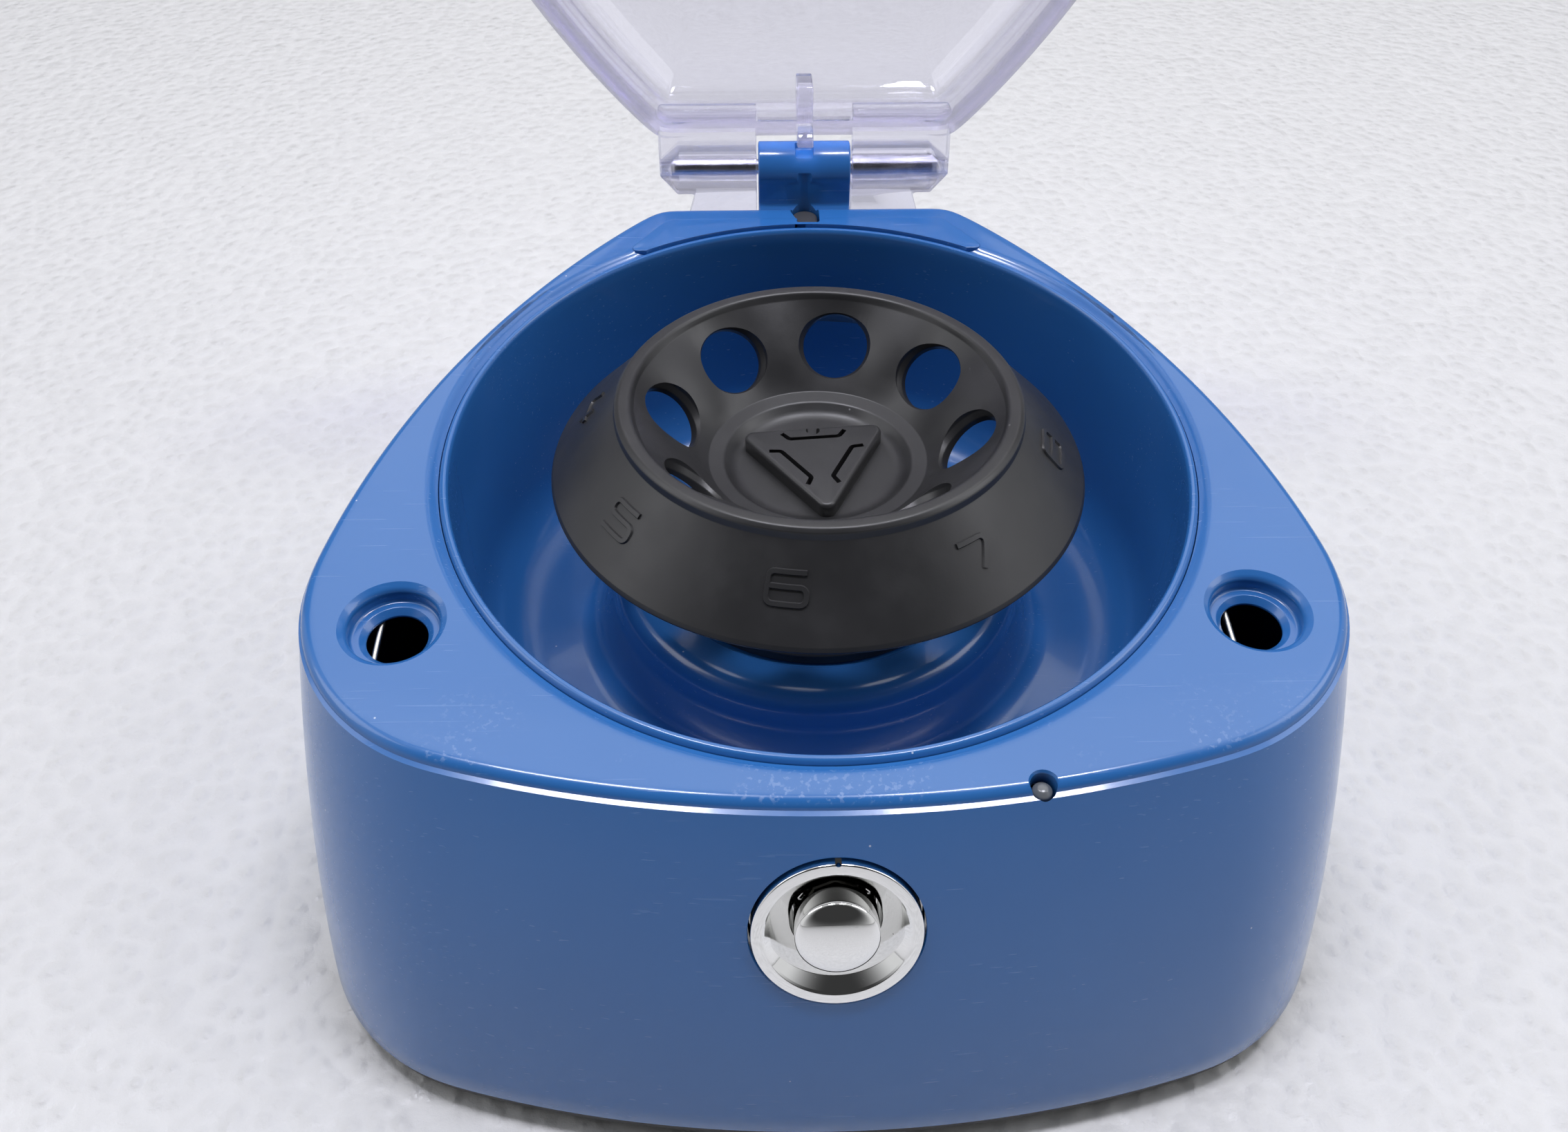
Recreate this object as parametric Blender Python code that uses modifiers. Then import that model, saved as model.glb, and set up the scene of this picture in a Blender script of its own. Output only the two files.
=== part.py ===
"""Mini centrifuge for eight small tubes: rounded triangular housing, clear tilted lid, black snap-on rotor.

Constants and helper arguments are millimetres, and every mesh is written in metres.
X points right, Y to the rear and Z up. The origin is on the rotor's axis at the base plate's underside.
"""

import math

import bmesh
import bpy
from mathutils import Vector

MM = 0.001
GAP = 0.3                                # clearance between pieces that touch

# Rotor and chamber
SKIRT_Z = 62.0                           # height of the rotor's skirt edge
SKIRT_R = 42.9
TUBES = 8
TUBE_HOLE_R = 5.5
TUBE_RING_R, TUBE_RING_Z = 23.4, SKIRT_Z + 6.9
FIRST_TUBE_ANGLE = math.radians(80.75)
BOSS_ANGLE = math.radians(-79.0)         # where one corner of the rotor's centre boss points
HILL_Z = 42.3                            # top of the raised centre of the chamber floor
FLOOR_Z = 28.0                           # chamber floor
MOUTH_R = 60.35                          # opening in the housing that the chamber hangs in

# Housing
TOP_Z, TOP_SLOPE = 65.5, 0.0907          # the top face rises towards the rear
TILT = math.atan(TOP_SLOPE)
FRONT_Y, REAR_Y, REAR_HALF = -66.8, 66.5, 27.8
FRONT_ARC, SIDE_ARC, CORNER_ARC = 188.0, 162.0, 32.0
SIDE_CENTRE = Vector((-83.7, -50.6))
FRONT_FLARE, REAR_FLARE, SIDE_FLARE = 17.2, 2.0, 0.061
WALL = 2.5
EDGE_R = 1.6                             # rounding where the wall meets the top face
BASE_T = 2.4
PANEL_RISE = 0.3                      # the underside's middle panel stands this far proud
HOUSING_BOTTOM = BASE_T + GAP
BASE_RIM_Z = 5.0
FOOT_H = 2.5

# Lid latch wells, button, lid hinge
WELL_X, WELL_Y = 62.2, -35.5
WIRE_DEPTH, WIRE_OFFSET, WIRE_R = 5.0, -3.0, 0.5
LED_X, LED_Y = 26.9, -64.0
SLOT_HALF, SLOT_FRONT, SLOT_REAR = 2.75, 60.9, 67.6
BUTTON_Z, BUTTON_LEAN = 41.2, math.radians(18.6)
HINGE_Y, HINGE_Z = 72.0, 77.0
OPEN_ANGLE = math.radians(102.0)
KNUCKLE_HALF, BARREL_END = 8.8, 27.6
HINGE_DROP = 4.95                        # hinge axis to the top face, square to the face
LID_WALL = 2.7
LID_MARGIN = 1.6                      # the lid stands this far inside the housing's edge
PIN_R = 1.5

# Motor, hung under the chamber's raised centre
MOTOR_R, MOTOR_BOTTOM, MOTOR_TOP = 18.0, 8.0, 33.7
BRACKET_Z, BRACKET_T = 34.0, 1.4
MOUNT_RING_R = 27.0
SHAFT_R = 1.5

SCREW_POSTS = ((70.0, -22.0), (-70.0, -22.0), (31.0, 58.5), (-31.0, 58.5))
FEET = ((60.0, -50.0), (-60.0, -50.0), (21.0, 52.0), (-21.0, 52.0))
BOARD_CENTRE = Vector((-44.0, -20.0))
BOARD_SIZE = Vector((34.0, 24.0, 1.6))
BOARD_Z = 8.0
JACK_X, JACK_Z = -14.0, 18.0
SWITCH_X, SWITCH_Z = 13.0, 20.0


def clear_scene():
    for obj in list(bpy.data.objects):
        bpy.data.objects.remove(obj, do_unlink=True)


def new_collection(name):
    group = bpy.data.collections.new(name)
    bpy.context.scene.collection.children.link(group)
    return group


clear_scene()
PARTS = new_collection("mini_centrifuge")
CUTTERS = new_collection("cutters")


# ---------------------------------------------------------------- materials

def material(name, colour, roughness, metallic=0.0, alpha=1.0):
    mat = bpy.data.materials.new(name)
    mat.use_nodes = True
    shader = mat.node_tree.nodes["Principled BSDF"]
    shader.inputs["Base Color"].default_value = (*colour, 1.0)
    shader.inputs["Roughness"].default_value = roughness
    shader.inputs["Metallic"].default_value = metallic
    shader.inputs["Alpha"].default_value = alpha
    return mat


BLUE = (0.035, 0.12, 0.42)
BLACK = (0.018, 0.018, 0.018)
STEEL = (0.62, 0.62, 0.64)
COPPER = (0.7, 0.3, 0.12)


# ---------------------------------------------------------------- helpers

def put(name, data, mat, parent=None, centre=(0, 0, 0), turn=(0, 0, 0)):
    """Adds a node, or a cutter when mat is None, at its place under its parent."""
    obj = bpy.data.objects.new(name, data)
    if mat is None:
        CUTTERS.objects.link(obj)
        obj.hide_render = True
        obj.display_type = "WIRE"
    else:
        PARTS.objects.link(obj)
        data.materials.append(mat)
    obj.parent = parent
    obj.location = Vector(centre) * MM
    obj.rotation_euler = turn
    return obj


def mesh_of(name, bm, sharp=35.0):
    bmesh.ops.scale(bm, vec=(MM, MM, MM), verts=bm.verts)
    bmesh.ops.recalc_face_normals(bm, faces=bm.faces)
    mesh = bpy.data.meshes.new(name)
    bm.to_mesh(mesh)
    bm.free()
    mesh.shade_smooth()
    mesh.set_sharp_from_angle(angle=math.radians(sharp))
    return mesh


def box(name, size, centre, mat=None, bevel=0.0, parent=None, turn=(0, 0, 0)):
    bm = bmesh.new()
    bmesh.ops.create_cube(bm, size=1.0)
    bmesh.ops.scale(bm, vec=size, verts=bm.verts)
    if bevel:
        bmesh.ops.bevel(bm, geom=bm.edges[:], offset=bevel, segments=1, profile=0.5, affect="EDGES")
    return put(name, mesh_of(name, bm), mat, parent, centre, turn)


def cylinder(name, radius, length, centre, mat=None, segments=20, end_radius=None, parent=None, turn=(0, 0, 0)):
    """A cylinder or cone along its own Z, with radius at the bottom end."""
    bm = bmesh.new()
    top = radius if end_radius is None else end_radius
    bmesh.ops.create_cone(bm, cap_ends=True, segments=segments, radius1=radius, radius2=top, depth=length)
    return put(name, mesh_of(name, bm), mat, parent, centre, turn)


def signed_area(points):
    following = points[1:] + points[:1]
    return sum(a[0] * b[1] - b[0] * a[1] for a, b in zip(points, following)) / 2


def turned(name, profile, mat=None, segments=32, parent=None, centre=(0, 0, 0), turn=(0, 0, 0)):
    """Turns an (r, z) profile about Z. One that starts and ends on the axis is solid, any other is a ring."""
    ordered = profile if signed_area(profile) < 0 else profile[::-1]
    on_axis = ordered[0][0] == 0 and ordered[-1][0] == 0
    bm = bmesh.new()
    verts = [bm.verts.new((r * MM, 0, z * MM)) for r, z in ordered]
    pairs = list(zip(verts, verts[1:]))
    if not on_axis:
        pairs.append((verts[-1], verts[0]))
    for pair in pairs:
        bm.edges.new(pair)
    mesh = bpy.data.meshes.new(name)
    bm.to_mesh(mesh)
    bm.free()
    obj = put(name, mesh, mat, parent, centre, turn)
    screw = obj.modifiers.new("turn", "SCREW")
    screw.steps = screw.render_steps = segments
    screw.use_merge_vertices = True
    screw.merge_threshold = 0.00001
    screw.use_smooth_shade = True
    return obj


def loft(name, rings, mat, closed_tube, parent=None, centre=(0, 0, 0)):
    """Skins rings of equal point count. A closed tube joins the last ring to the first; otherwise both ends are capped."""
    bm = bmesh.new()
    rows = [[bm.verts.new(p) for p in ring] for ring in rings]
    pairs = list(zip(rows, rows[1:]))
    if closed_tube:
        pairs.append((rows[-1], rows[0]))
    else:
        bm.faces.new(rows[0])
        bm.faces.new(rows[-1])
    for low, high in pairs:
        for i in range(len(low)):
            j = (i + 1) % len(low)
            bm.faces.new((low[i], low[j], high[j], high[i]))
    return put(name, mesh_of(name, bm), mat, parent, centre)


def plate(name, outline, thickness, mat=None, parent=None, centre=(0, 0, 0), turn=(0, 0, 0)):
    """A flat outline in its own XY plane, thickened both ways, as a welded mesh."""
    curve = bpy.data.curves.new(name, "CURVE")
    curve.dimensions = "2D"
    curve.fill_mode = "BOTH"
    curve.extrude = thickness / 2 * MM
    spline = curve.splines.new("POLY")
    spline.points.add(len(outline) - 1)
    for point, (x, y) in zip(spline.points, outline):
        point.co = (x * MM, y * MM, 0, 1)
    spline.use_cyclic_u = True
    drawn = bpy.data.objects.new(name + "_outline", curve)
    bpy.context.scene.collection.objects.link(drawn)
    evaluated = drawn.evaluated_get(bpy.context.evaluated_depsgraph_get())
    mesh = bpy.data.meshes.new_from_object(evaluated)
    bpy.data.objects.remove(drawn)
    bm = bmesh.new()
    bm.from_mesh(mesh)
    bmesh.ops.remove_doubles(bm, verts=bm.verts, dist=0.000001)
    bmesh.ops.recalc_face_normals(bm, faces=bm.faces)
    bm.to_mesh(mesh)
    bm.free()
    mesh.name = name
    mesh.materials.clear()
    return put(name, mesh, mat, parent, centre, turn)


def wire(name, points, radius, mat, parent=None):
    """A round wire or lead along a list of points."""
    curve = bpy.data.curves.new(name, "CURVE")
    curve.dimensions = "3D"
    curve.bevel_depth = radius * MM
    curve.bevel_resolution = 1
    curve.use_fill_caps = True
    spline = curve.splines.new("POLY")
    spline.points.add(len(points) - 1)
    for point, place in zip(spline.points, points):
        point.co = (*(Vector(place) * MM), 1)
    return put(name, curve, mat, parent)


def boolean(obj, tool, operation="DIFFERENCE"):
    change = obj.modifiers.new(tool.name, "BOOLEAN")
    change.operation = operation
    change.solver = "EXACT"
    change.object = tool
    return obj


def empty(name, centre, turn=(0, 0, 0)):
    marker = bpy.data.objects.new(name, None)
    PARTS.objects.link(marker)
    marker.location = Vector(centre) * MM
    marker.rotation_euler = turn
    marker.empty_display_size = 0.01
    return marker


def smooth_path(points, steps):
    """Catmull-Rom points through a route."""
    ends = [points[0]] + list(points) + [points[-1]]
    path = []
    for a, b, c, d in zip(ends, ends[1:], ends[2:], ends[3:]):
        a, b, c, d = Vector(a), Vector(b), Vector(c), Vector(d)
        for k in range(steps):
            t = k / steps
            path.append(0.5 * (2 * b + (c - a) * t + (2 * a - 5 * b + 4 * c - d) * t * t
                               + (3 * b - a - 3 * c + d) * t * t * t))
    return path + [Vector(points[-1])]


# ---------------------------------------------------------------- housing outline

def top_z(y):
    return TOP_Z + TOP_SLOPE * y


def arc(centre, radius, start, end, steps):
    angles = [start + (end - start) * i / steps for i in range(steps + 1)]
    return [Vector((centre[0] + radius * math.cos(a), centre[1] + radius * math.sin(a))) for a in angles]


def corner_centre():
    """Centre of the corner arc that touches both the front arc and the side arc from inside."""
    front = Vector((0, FRONT_Y + FRONT_ARC))
    reach_side, reach_front = SIDE_ARC - CORNER_ARC, FRONT_ARC - CORNER_ARC
    span = front - SIDE_CENTRE
    along = (reach_side ** 2 - reach_front ** 2 + span.length ** 2) / (2 * span.length)
    across = math.sqrt(reach_side ** 2 - along ** 2)
    unit = span.normalized()
    return SIDE_CENTRE + unit * along + Vector((unit.y, -unit.x)) * across


def top_outline():
    """The top face's outline, anticlockwise from the middle of the front."""
    corner = corner_centre()
    front = Vector((0, FRONT_Y + FRONT_ARC))
    toward_front, toward_side = corner - front, corner - SIDE_CENTRE
    front_end = math.atan2(toward_front.y, toward_front.x)
    side_start = math.atan2(toward_side.y, toward_side.x)
    rear_end = math.asin((REAR_Y - 1.2 - SIDE_CENTRE.y) / SIDE_ARC)
    half = arc(front, FRONT_ARC, -math.pi / 2, front_end, 5)[:-1]
    half += arc(corner, CORNER_ARC, front_end, side_start, 6)[:-1]
    half += arc(SIDE_CENTRE, SIDE_ARC, side_start, rear_end, 7)
    half += [Vector((REAR_HALF, REAR_Y)), Vector((REAR_HALF / 2, REAR_Y))]
    middle_rear = [Vector((0, REAR_Y))]
    return half + middle_rear + [Vector((-p.x, p.y)) for p in reversed(half[1:])]


OUTLINE = top_outline()


def inset(points, distance):
    """Moves each point of an anticlockwise outline inwards, square to its neighbours."""
    moved = []
    for i, point in enumerate(points):
        before, after = points[i - 1], points[(i + 1) % len(points)]
        edge_in, edge_out = (point - before).normalized(), (after - point).normalized()
        normal = Vector((-edge_in.y - edge_out.y, edge_in.x + edge_out.x)).normalized()
        square = normal.dot(Vector((-edge_in.y, edge_in.x)))
        moved.append(point + normal * distance / square)
    return moved


def flare(point, level):
    """The wall's plan position at a level from 0, the top edge, to 1, the bottom edge."""
    grow = 1.523 * level - 0.523 * level ** 2
    back = (point.y - FRONT_Y) / (REAR_Y - FRONT_Y)
    shift = -FRONT_FLARE + 5.0 * back + (FRONT_FLARE + REAR_FLARE - 5.0) * back ** 2
    return Vector((point.x * (1 + SIDE_FLARE * grow), point.y + shift * grow))


def wall_ring(level, distance=0.0):
    """The wall's points at one level, moved inwards by a distance."""
    plan = inset([flare(p, level) for p in OUTLINE], distance)
    heights = [top_z(p.y) * (1 - level) + HOUSING_BOTTOM * level for p in OUTLINE]
    return [Vector((q.x, q.y, z)) for q, z in zip(plan, heights)]


def top_ring(distance, drop):
    """Points on or under the top face, inside its outline."""
    plan = inset(OUTLINE, distance)
    return [Vector((q.x, q.y, top_z(q.y) - drop)) for q in plan]


def mouth_ring(radius, drop):
    points = []
    for p in OUTLINE:
        q = p.normalized() * radius
        points.append(Vector((q.x, q.y, top_z(q.y) - drop)))
    return points


def face_place(x, y, depth=0.0):
    """A point at a depth under the top face, square to the face."""
    return Vector((x, y, top_z(y))) - Vector((0, -math.sin(TILT), math.cos(TILT))) * depth


# ---------------------------------------------------------------- housing

def housing_shell(mat):
    levels = (1.0, 0.7, 0.4, 0.18)
    start = EDGE_R / (TOP_Z - HOUSING_BOTTOM)
    rings = [wall_ring(level) for level in levels] + [wall_ring(start)]
    rings += [top_ring(EDGE_R * 0.25, EDGE_R * 0.3), top_ring(EDGE_R, 0.0)]
    rings += [mouth_ring(MOUTH_R + 0.95, 0.0), mouth_ring(MOUTH_R, 0.9)]
    rings += [mouth_ring(MOUTH_R, WALL), top_ring(WALL + 0.3, WALL)]
    rings += [wall_ring(level, WALL) for level in reversed(levels)]
    return loft("upper_housing", rings, mat, closed_tube=True)


def upper_housing():
    shell = housing_shell(material("housing_blue", BLUE, 0.28))
    for i, (x, y) in enumerate(SCREW_POSTS):
        bottom, top = BASE_RIM_Z + 0.4, top_z(y) - WALL / 2
        boolean(shell, cylinder(f"post_{i}", 3.2, top - bottom, (x, y, (top + bottom) / 2), segments=10), "UNION")
        boolean(shell, cylinder(f"post_bore_{i}", 1.7, 16, (x, y, bottom + 6.5), segments=8))
    for side in (-1, 1):
        x = side * WELL_X
        tilt = (TILT, 0, 0)
        boolean(shell, cylinder(f"well_{side}", 8.2, 3.2, face_place(x, WELL_Y, 2.6), segments=20, turn=tilt), "UNION")
        boolean(shell, cylinder(f"well_recess_{side}", 6.6, 6, face_place(x, WELL_Y, 0.0), segments=20, turn=tilt))
        boolean(shell, cylinder(f"well_seat_{side}", 4.45, 1.01, face_place(x, WELL_Y, 3.4), segments=20,
                                end_radius=5.3, turn=tilt))
        boolean(shell, cylinder(f"well_hole_{side}", 4.4, 8, face_place(x, WELL_Y, 5.0), segments=20, turn=tilt))
    add_knuckle(shell)
    cut_slot(shell)
    boolean(shell, cylinder("led_hole", 1.8, 16, face_place(LED_X, LED_Y, 0.0), segments=16, turn=(TILT, 0, 0)))
    outward = Vector((0, -math.cos(BUTTON_LEAN), math.sin(BUTTON_LEAN)))
    boolean(shell, cylinder("button_hole", 12.0, 12, button_centre() - outward * 1.0, segments=28,
                            turn=(math.pi / 2 - BUTTON_LEAN, 0, 0)))
    boolean(shell, cylinder("jack_hole", 4.6, 10, (JACK_X, REAR_Y, JACK_Z), segments=16, turn=(math.pi / 2, 0, 0)))
    boolean(shell, box("switch_hole", (11.6, 12, 17.6), (SWITCH_X, REAR_Y, SWITCH_Z)))
    return shell


def add_knuckle(shell):
    """The hinge knuckle stands behind the rear edge on a neck that grows out of the rear wall."""
    neck = [(65.0, 50.0), (65.0, 69.2), (67.4, 71.4), (67.4, HINGE_Z), (76.4, HINGE_Z), (75.4, 64.0), (69.5, 52.0)]
    body = plate("knuckle_neck", neck, 2 * KNUCKLE_HALF, turn=(math.pi / 2, 0, math.pi / 2))
    boolean(shell, body, "UNION")
    round_end = cylinder("knuckle", 4.8, 2 * KNUCKLE_HALF - 0.02, (0, HINGE_Y, HINGE_Z), segments=20,
                         turn=(0, math.pi / 2, 0))
    boolean(shell, round_end, "UNION")
    boolean(shell, cylinder("knuckle_bore", PIN_R + GAP, 40, (0, HINGE_Y, HINGE_Z), segments=12,
                            turn=(0, math.pi / 2, 0)))


def cut_slot(shell):
    """The interlock slot: flat at the front, round at the rear, with a channel floor inside the neck."""
    straight = SLOT_REAR - SLOT_HALF
    rounded = arc((0, straight), SLOT_HALF, 0, math.pi, 8)
    outline = [Vector((-SLOT_HALF, SLOT_FRONT)), Vector((SLOT_HALF, SLOT_FRONT))] + rounded
    floor_z, roof_z = 61.2, 78.0
    boolean(shell, plate("slot", outline, roof_z - floor_z, centre=(0, 0, (roof_z + floor_z) / 2)))


def chamber_height(radius, drop, follow, angle):
    """The rim of the chamber follows the tilted top face; the rest is level."""
    return top_z(radius * math.sin(angle)) - drop if follow else drop


def rotor_bowl():
    rim = [(61.0, 4.5), (61.0, 2.9), (60.05, 2.9), (60.05, 0.5), (59.5, 0.1), (58.95, 0.45), (58.8, 6.0)]
    inside = [(58.4, 45.0), (57.0, 35.0), (53.2, 29.6), (47.0, FLOOR_Z), (41.0, FLOOR_Z), (36.8, 29.7),
              (35.1, 34.0), (34.6, 39.0), (33.2, 41.3), (30.8, HILL_Z), (22.5, HILL_Z)]
    under = [(22.5, HILL_Z - 2), (30.4, HILL_Z - 2), (32.5, 38.6), (33.1, 33.0), (35.0, 28.2), (41.0, FLOOR_Z - 2),
             (47.2, FLOOR_Z - 2), (54.4, 27.9), (58.8, 34.0), (59.6, 45.0)]
    stations = [(r, d, True) for r, d in rim] + [(r, z, False) for r, z in inside + under]
    angles = [math.atan2(p.y, p.x) for p in OUTLINE]
    rings = []
    for radius, drop, follow in stations:
        rings.append([Vector((radius * math.cos(a), radius * math.sin(a), chamber_height(radius, drop, follow, a)))
                      for a in angles])
    bowl = loft("rotor_bowl", rings, material("bowl_blue", BLUE, 0.25), closed_tube=True)
    boolean(bowl, box("flange_notch", (7.4, 3.0, 30), (0, 62.1, 68)))
    for i, (x, y) in enumerate(mount_places()):
        boolean(bowl, cylinder(f"bowl_boss_{i}", 4.0, 3.2, (x, y, 39.6), segments=12), "UNION")
        boolean(bowl, cylinder(f"bowl_boss_bore_{i}", 1.6, 4.0, (x, y, 39.2), segments=8))
    return bowl


def mount_places():
    angles = [math.radians(90 + 120 * i) for i in range(3)]
    return [(MOUNT_RING_R * math.cos(a), MOUNT_RING_R * math.sin(a)) for a in angles]


def base_plate():
    low = [Vector((p.x, p.y)) for p in wall_ring(1.0)]
    levels = ((1.2, PANEL_RISE), (0.6, 0.9), (0.6, BASE_T), (WALL + 0.6, BASE_T + 0.05), (WALL + 0.6, BASE_RIM_Z),
              (WALL + 2.2, BASE_RIM_Z), (WALL + 2.2, BASE_T + 0.05))
    rings = [[Vector((p.x, p.y, z)) for p in inset(low, distance)] for distance, z in levels]
    plate_obj = loft("base_plate", rings, material("base_black", BLACK, 0.55), closed_tube=False)
    boolean(plate_obj, box("underside_panel", (80, 56, 1.2), (0, -6, 0.6)), "UNION")
    for i, (x, y) in enumerate(SCREW_POSTS):
        boolean(plate_obj, cylinder(f"screw_hole_{i}", 1.7, 16, (x, y, 2), segments=8))
        boolean(plate_obj, cylinder(f"countersink_{i}", 3.3, 1.8, (x, y, 0.8), segments=10, end_radius=1.7))
    for i, (x, y) in enumerate(FEET):
        boolean(plate_obj, cylinder(f"foot_hole_{i}", 2.3, 16, (x, y, 2), segments=8))
    for i, (x, y) in enumerate(board_posts()):
        height = BOARD_Z - GAP - 1.5
        boolean(plate_obj, cylinder(f"board_post_{i}", 2.4, height, (x, y, 1.5 + height / 2), segments=10), "UNION")
        boolean(plate_obj, cylinder(f"board_post_bore_{i}", 1.1, 6, (x, y, BOARD_Z), segments=8))
    return plate_obj


def board_posts():
    reach = BOARD_SIZE / 2 - Vector((3.0, 3.0, 0))
    return [(BOARD_CENTRE.x - reach.x, BOARD_CENTRE.y - reach.y), (BOARD_CENTRE.x + reach.x, BOARD_CENTRE.y + reach.y)]


def feet_and_screws():
    rubber = material("foot_rubber", (0.03, 0.03, 0.03), 0.8)
    steel = material("screw_steel", STEEL, 0.35, 1.0)
    foot = [(0, -FOOT_H), (6.2, -FOOT_H), (6.9, -FOOT_H + 0.6), (6.5, 0), (2.0, 0), (2.0, 2.7), (2.9, 2.8),
            (2.5, 4.4), (0, 5.0)]
    for i, (x, y) in enumerate(FEET):
        turned(f"foot_{i + 1}", foot, rubber, segments=14, centre=(x, y, 0))
    screw = [(0, 0.4), (2.5, 0.4), (2.5, 0.5), (1.3, 1.5), (1.3, 14.0), (0, 15.0)]
    for i, (x, y) in enumerate(SCREW_POSTS):
        turned(f"base_screw_{i + 1}", screw, steel, segments=8, centre=(x, y, 0))


# ---------------------------------------------------------------- motor and drive

def motor():
    can = [(5.2, 36.9), (5.2, MOTOR_TOP), (MOTOR_R, MOTOR_TOP), (MOTOR_R, MOTOR_BOTTOM + 1.4),
           (MOTOR_R - 1.2, MOTOR_BOTTOM + 1.4), (MOTOR_R - 1.2, MOTOR_TOP - 1.2), (3.8, MOTOR_TOP - 1.2), (3.8, 36.9)]
    turned("motor_can", can, material("motor_steel", (0.5, 0.5, 0.52), 0.3, 1.0), segments=22)
    cap = [(3.8, 7.2), (5.6, 7.2), (5.6, MOTOR_BOTTOM - 0.3), (MOTOR_R, MOTOR_BOTTOM - 0.3),
           (MOTOR_R, MOTOR_BOTTOM + 1.1), (3.8, MOTOR_BOTTOM + 1.1)]
    turned("motor_end_cap", cap, material("motor_cap_black", BLACK, 0.5), segments=22)
    magnet = [(14.6, 12.0), (16.4, 12.0), (16.4, 30.0), (14.6, 30.0)]
    turned("motor_magnet", magnet, material("magnet_grey", (0.12, 0.12, 0.13), 0.6, 0.3), segments=20)
    bronze = material("bushing_bronze", (0.55, 0.36, 0.16), 0.35, 1.0)
    turned("upper_bushing", [(1.55, 33.4), (3.5, 33.4), (3.5, 36.7), (1.55, 36.7)], bronze, segments=14)
    turned("lower_bushing", [(1.55, 6.9), (3.5, 6.9), (3.5, 9.2), (1.55, 9.2)], bronze, segments=14)
    armature = [(1.8, 10.0), (4.2, 10.0), (4.2, 13.0), (9.0, 13.6), (13.6, 15.0), (13.6, 27.0), (9.0, 28.6), (1.8, 29.0)]
    turned("motor_armature", armature, material("armature_copper", COPPER, 0.4, 1.0), segments=16)
    cylinder("motor_shaft", SHAFT_R, 50.0, (0, 0, 32.0), material("shaft_steel", STEEL, 0.2, 1.0), segments=16)


def motor_mounting():
    steps = 30
    outline = []
    for i in range(steps):
        a = 2 * math.pi * i / steps
        r = 26.4 + 4.6 * math.cos(3 * (a - math.pi / 2))
        outline.append((r * math.cos(a), r * math.sin(a)))
    bracket = plate("motor_bracket", outline, BRACKET_T, material("bracket_steel", (0.55, 0.55, 0.57), 0.4, 1.0),
                    centre=(0, 0, BRACKET_Z + BRACKET_T / 2))
    boolean(bracket, cylinder("bracket_bore", 5.6, 8, (0, 0, BRACKET_Z), segments=16))
    rubber = material("grommet_rubber", (0.03, 0.03, 0.03), 0.8)
    steel = material("bracket_screw_steel", STEEL, 0.35, 1.0)
    grommet = [(1.7, 35.7), (4.0, 35.7), (4.0, 37.7), (1.7, 37.7)]
    screw = [(0, 31.2), (2.6, 31.2), (2.6, 33.6), (1.3, 33.6), (1.3, 40.6), (0, 40.9)]
    for i, (x, y) in enumerate(mount_places()):
        boolean(bracket, cylinder(f"bracket_hole_{i}", 1.7, 8, (x, y, BRACKET_Z), segments=8))
        turned(f"motor_grommet_{i + 1}", grommet, rubber, segments=12, centre=(x, y, 0))
        turned(f"bracket_screw_{i + 1}", screw, steel, segments=8, centre=(x, y, 0))


def motor_cover():
    profile = [(7.5, 44.8), (25.9, 44.8), (26.5, 44.2), (26.5, HILL_Z + GAP), (22.0, HILL_Z + GAP), (22.0, 41.0),
               (20.2, 41.0), (20.2, 43.2), (7.5, 43.2)]
    turned("motor_cover", profile, material("cover_black", BLACK, 0.45), segments=24)


def drive_hub():
    profile = [(1.8, 58.1), (5.2, 58.1), (6.0, 57.2), (6.0, 48.6), (11.0, 48.6), (11.0, 46.0), (1.8, 46.0)]
    turned("drive_hub", profile, material("hub_black", BLACK, 0.4), segments=20)


def rotor():
    """Double cone: an outer skirt, an inner cone that holds the tubes, and a dished centre on a sleeve."""
    above = [(0, -0.9), (14.2, -0.9), (16.3, 0.8), (18.0, 1.5), (28.9, 12.4), (30.4, 13.4), (31.7, 12.2),
             (42.5, 0.9), (SKIRT_R, 0.0)]
    below = [(41.3, -0.1), (31.0, 10.4), (29.8, 10.5), (17.6, -1.7), (16.0, -2.9), (8.6, -2.9), (8.6, -11.5),
             (6.3, -11.5), (6.3, -3.1), (0, -3.1)]
    profile = [(r, z + SKIRT_Z) for r, z in above + below]
    body = turned("rotor", profile, material("rotor_black", BLACK, 0.42), segments=40)
    corner = 12.1
    outline = []
    for k in range(3):
        heading = BOSS_ANGLE + k * math.tau / 3
        tip = Vector((math.cos(heading), math.sin(heading))) * (corner - 1.8)
        outline += arc(tip, 1.8, heading - math.pi / 3, heading + math.pi / 3, 4)
    boolean(body, plate("rotor_boss", outline, 3.4, centre=(0, 0, SKIRT_Z - 0.1)), "UNION")
    for k in range(TUBES):
        a = FIRST_TUBE_ANGLE + k * math.tau / TUBES
        place = (TUBE_RING_R * math.cos(a), TUBE_RING_R * math.sin(a), TUBE_RING_Z)
        boolean(body, cylinder(f"tube_hole_{k}", TUBE_HOLE_R, 12, place, segments=14, turn=(0, -math.pi / 4, a)))
    return body


# ---------------------------------------------------------------- lid and hinge

def lid_point(point, height):
    """A plan point on the closed lid, in the lid's own frame: origin on the hinge axis, XY along the top face."""
    return Vector((point.x, (point.y - HINGE_Y) / math.cos(TILT), height))


def lid_ring(outline, distance, height, shrink=1.0):
    middle = Vector((0, -4.0))
    ring = []
    for p in inset(outline, distance):
        q = middle + (p - middle) * shrink
        ring.append(lid_point(q, height))
    return ring


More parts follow.
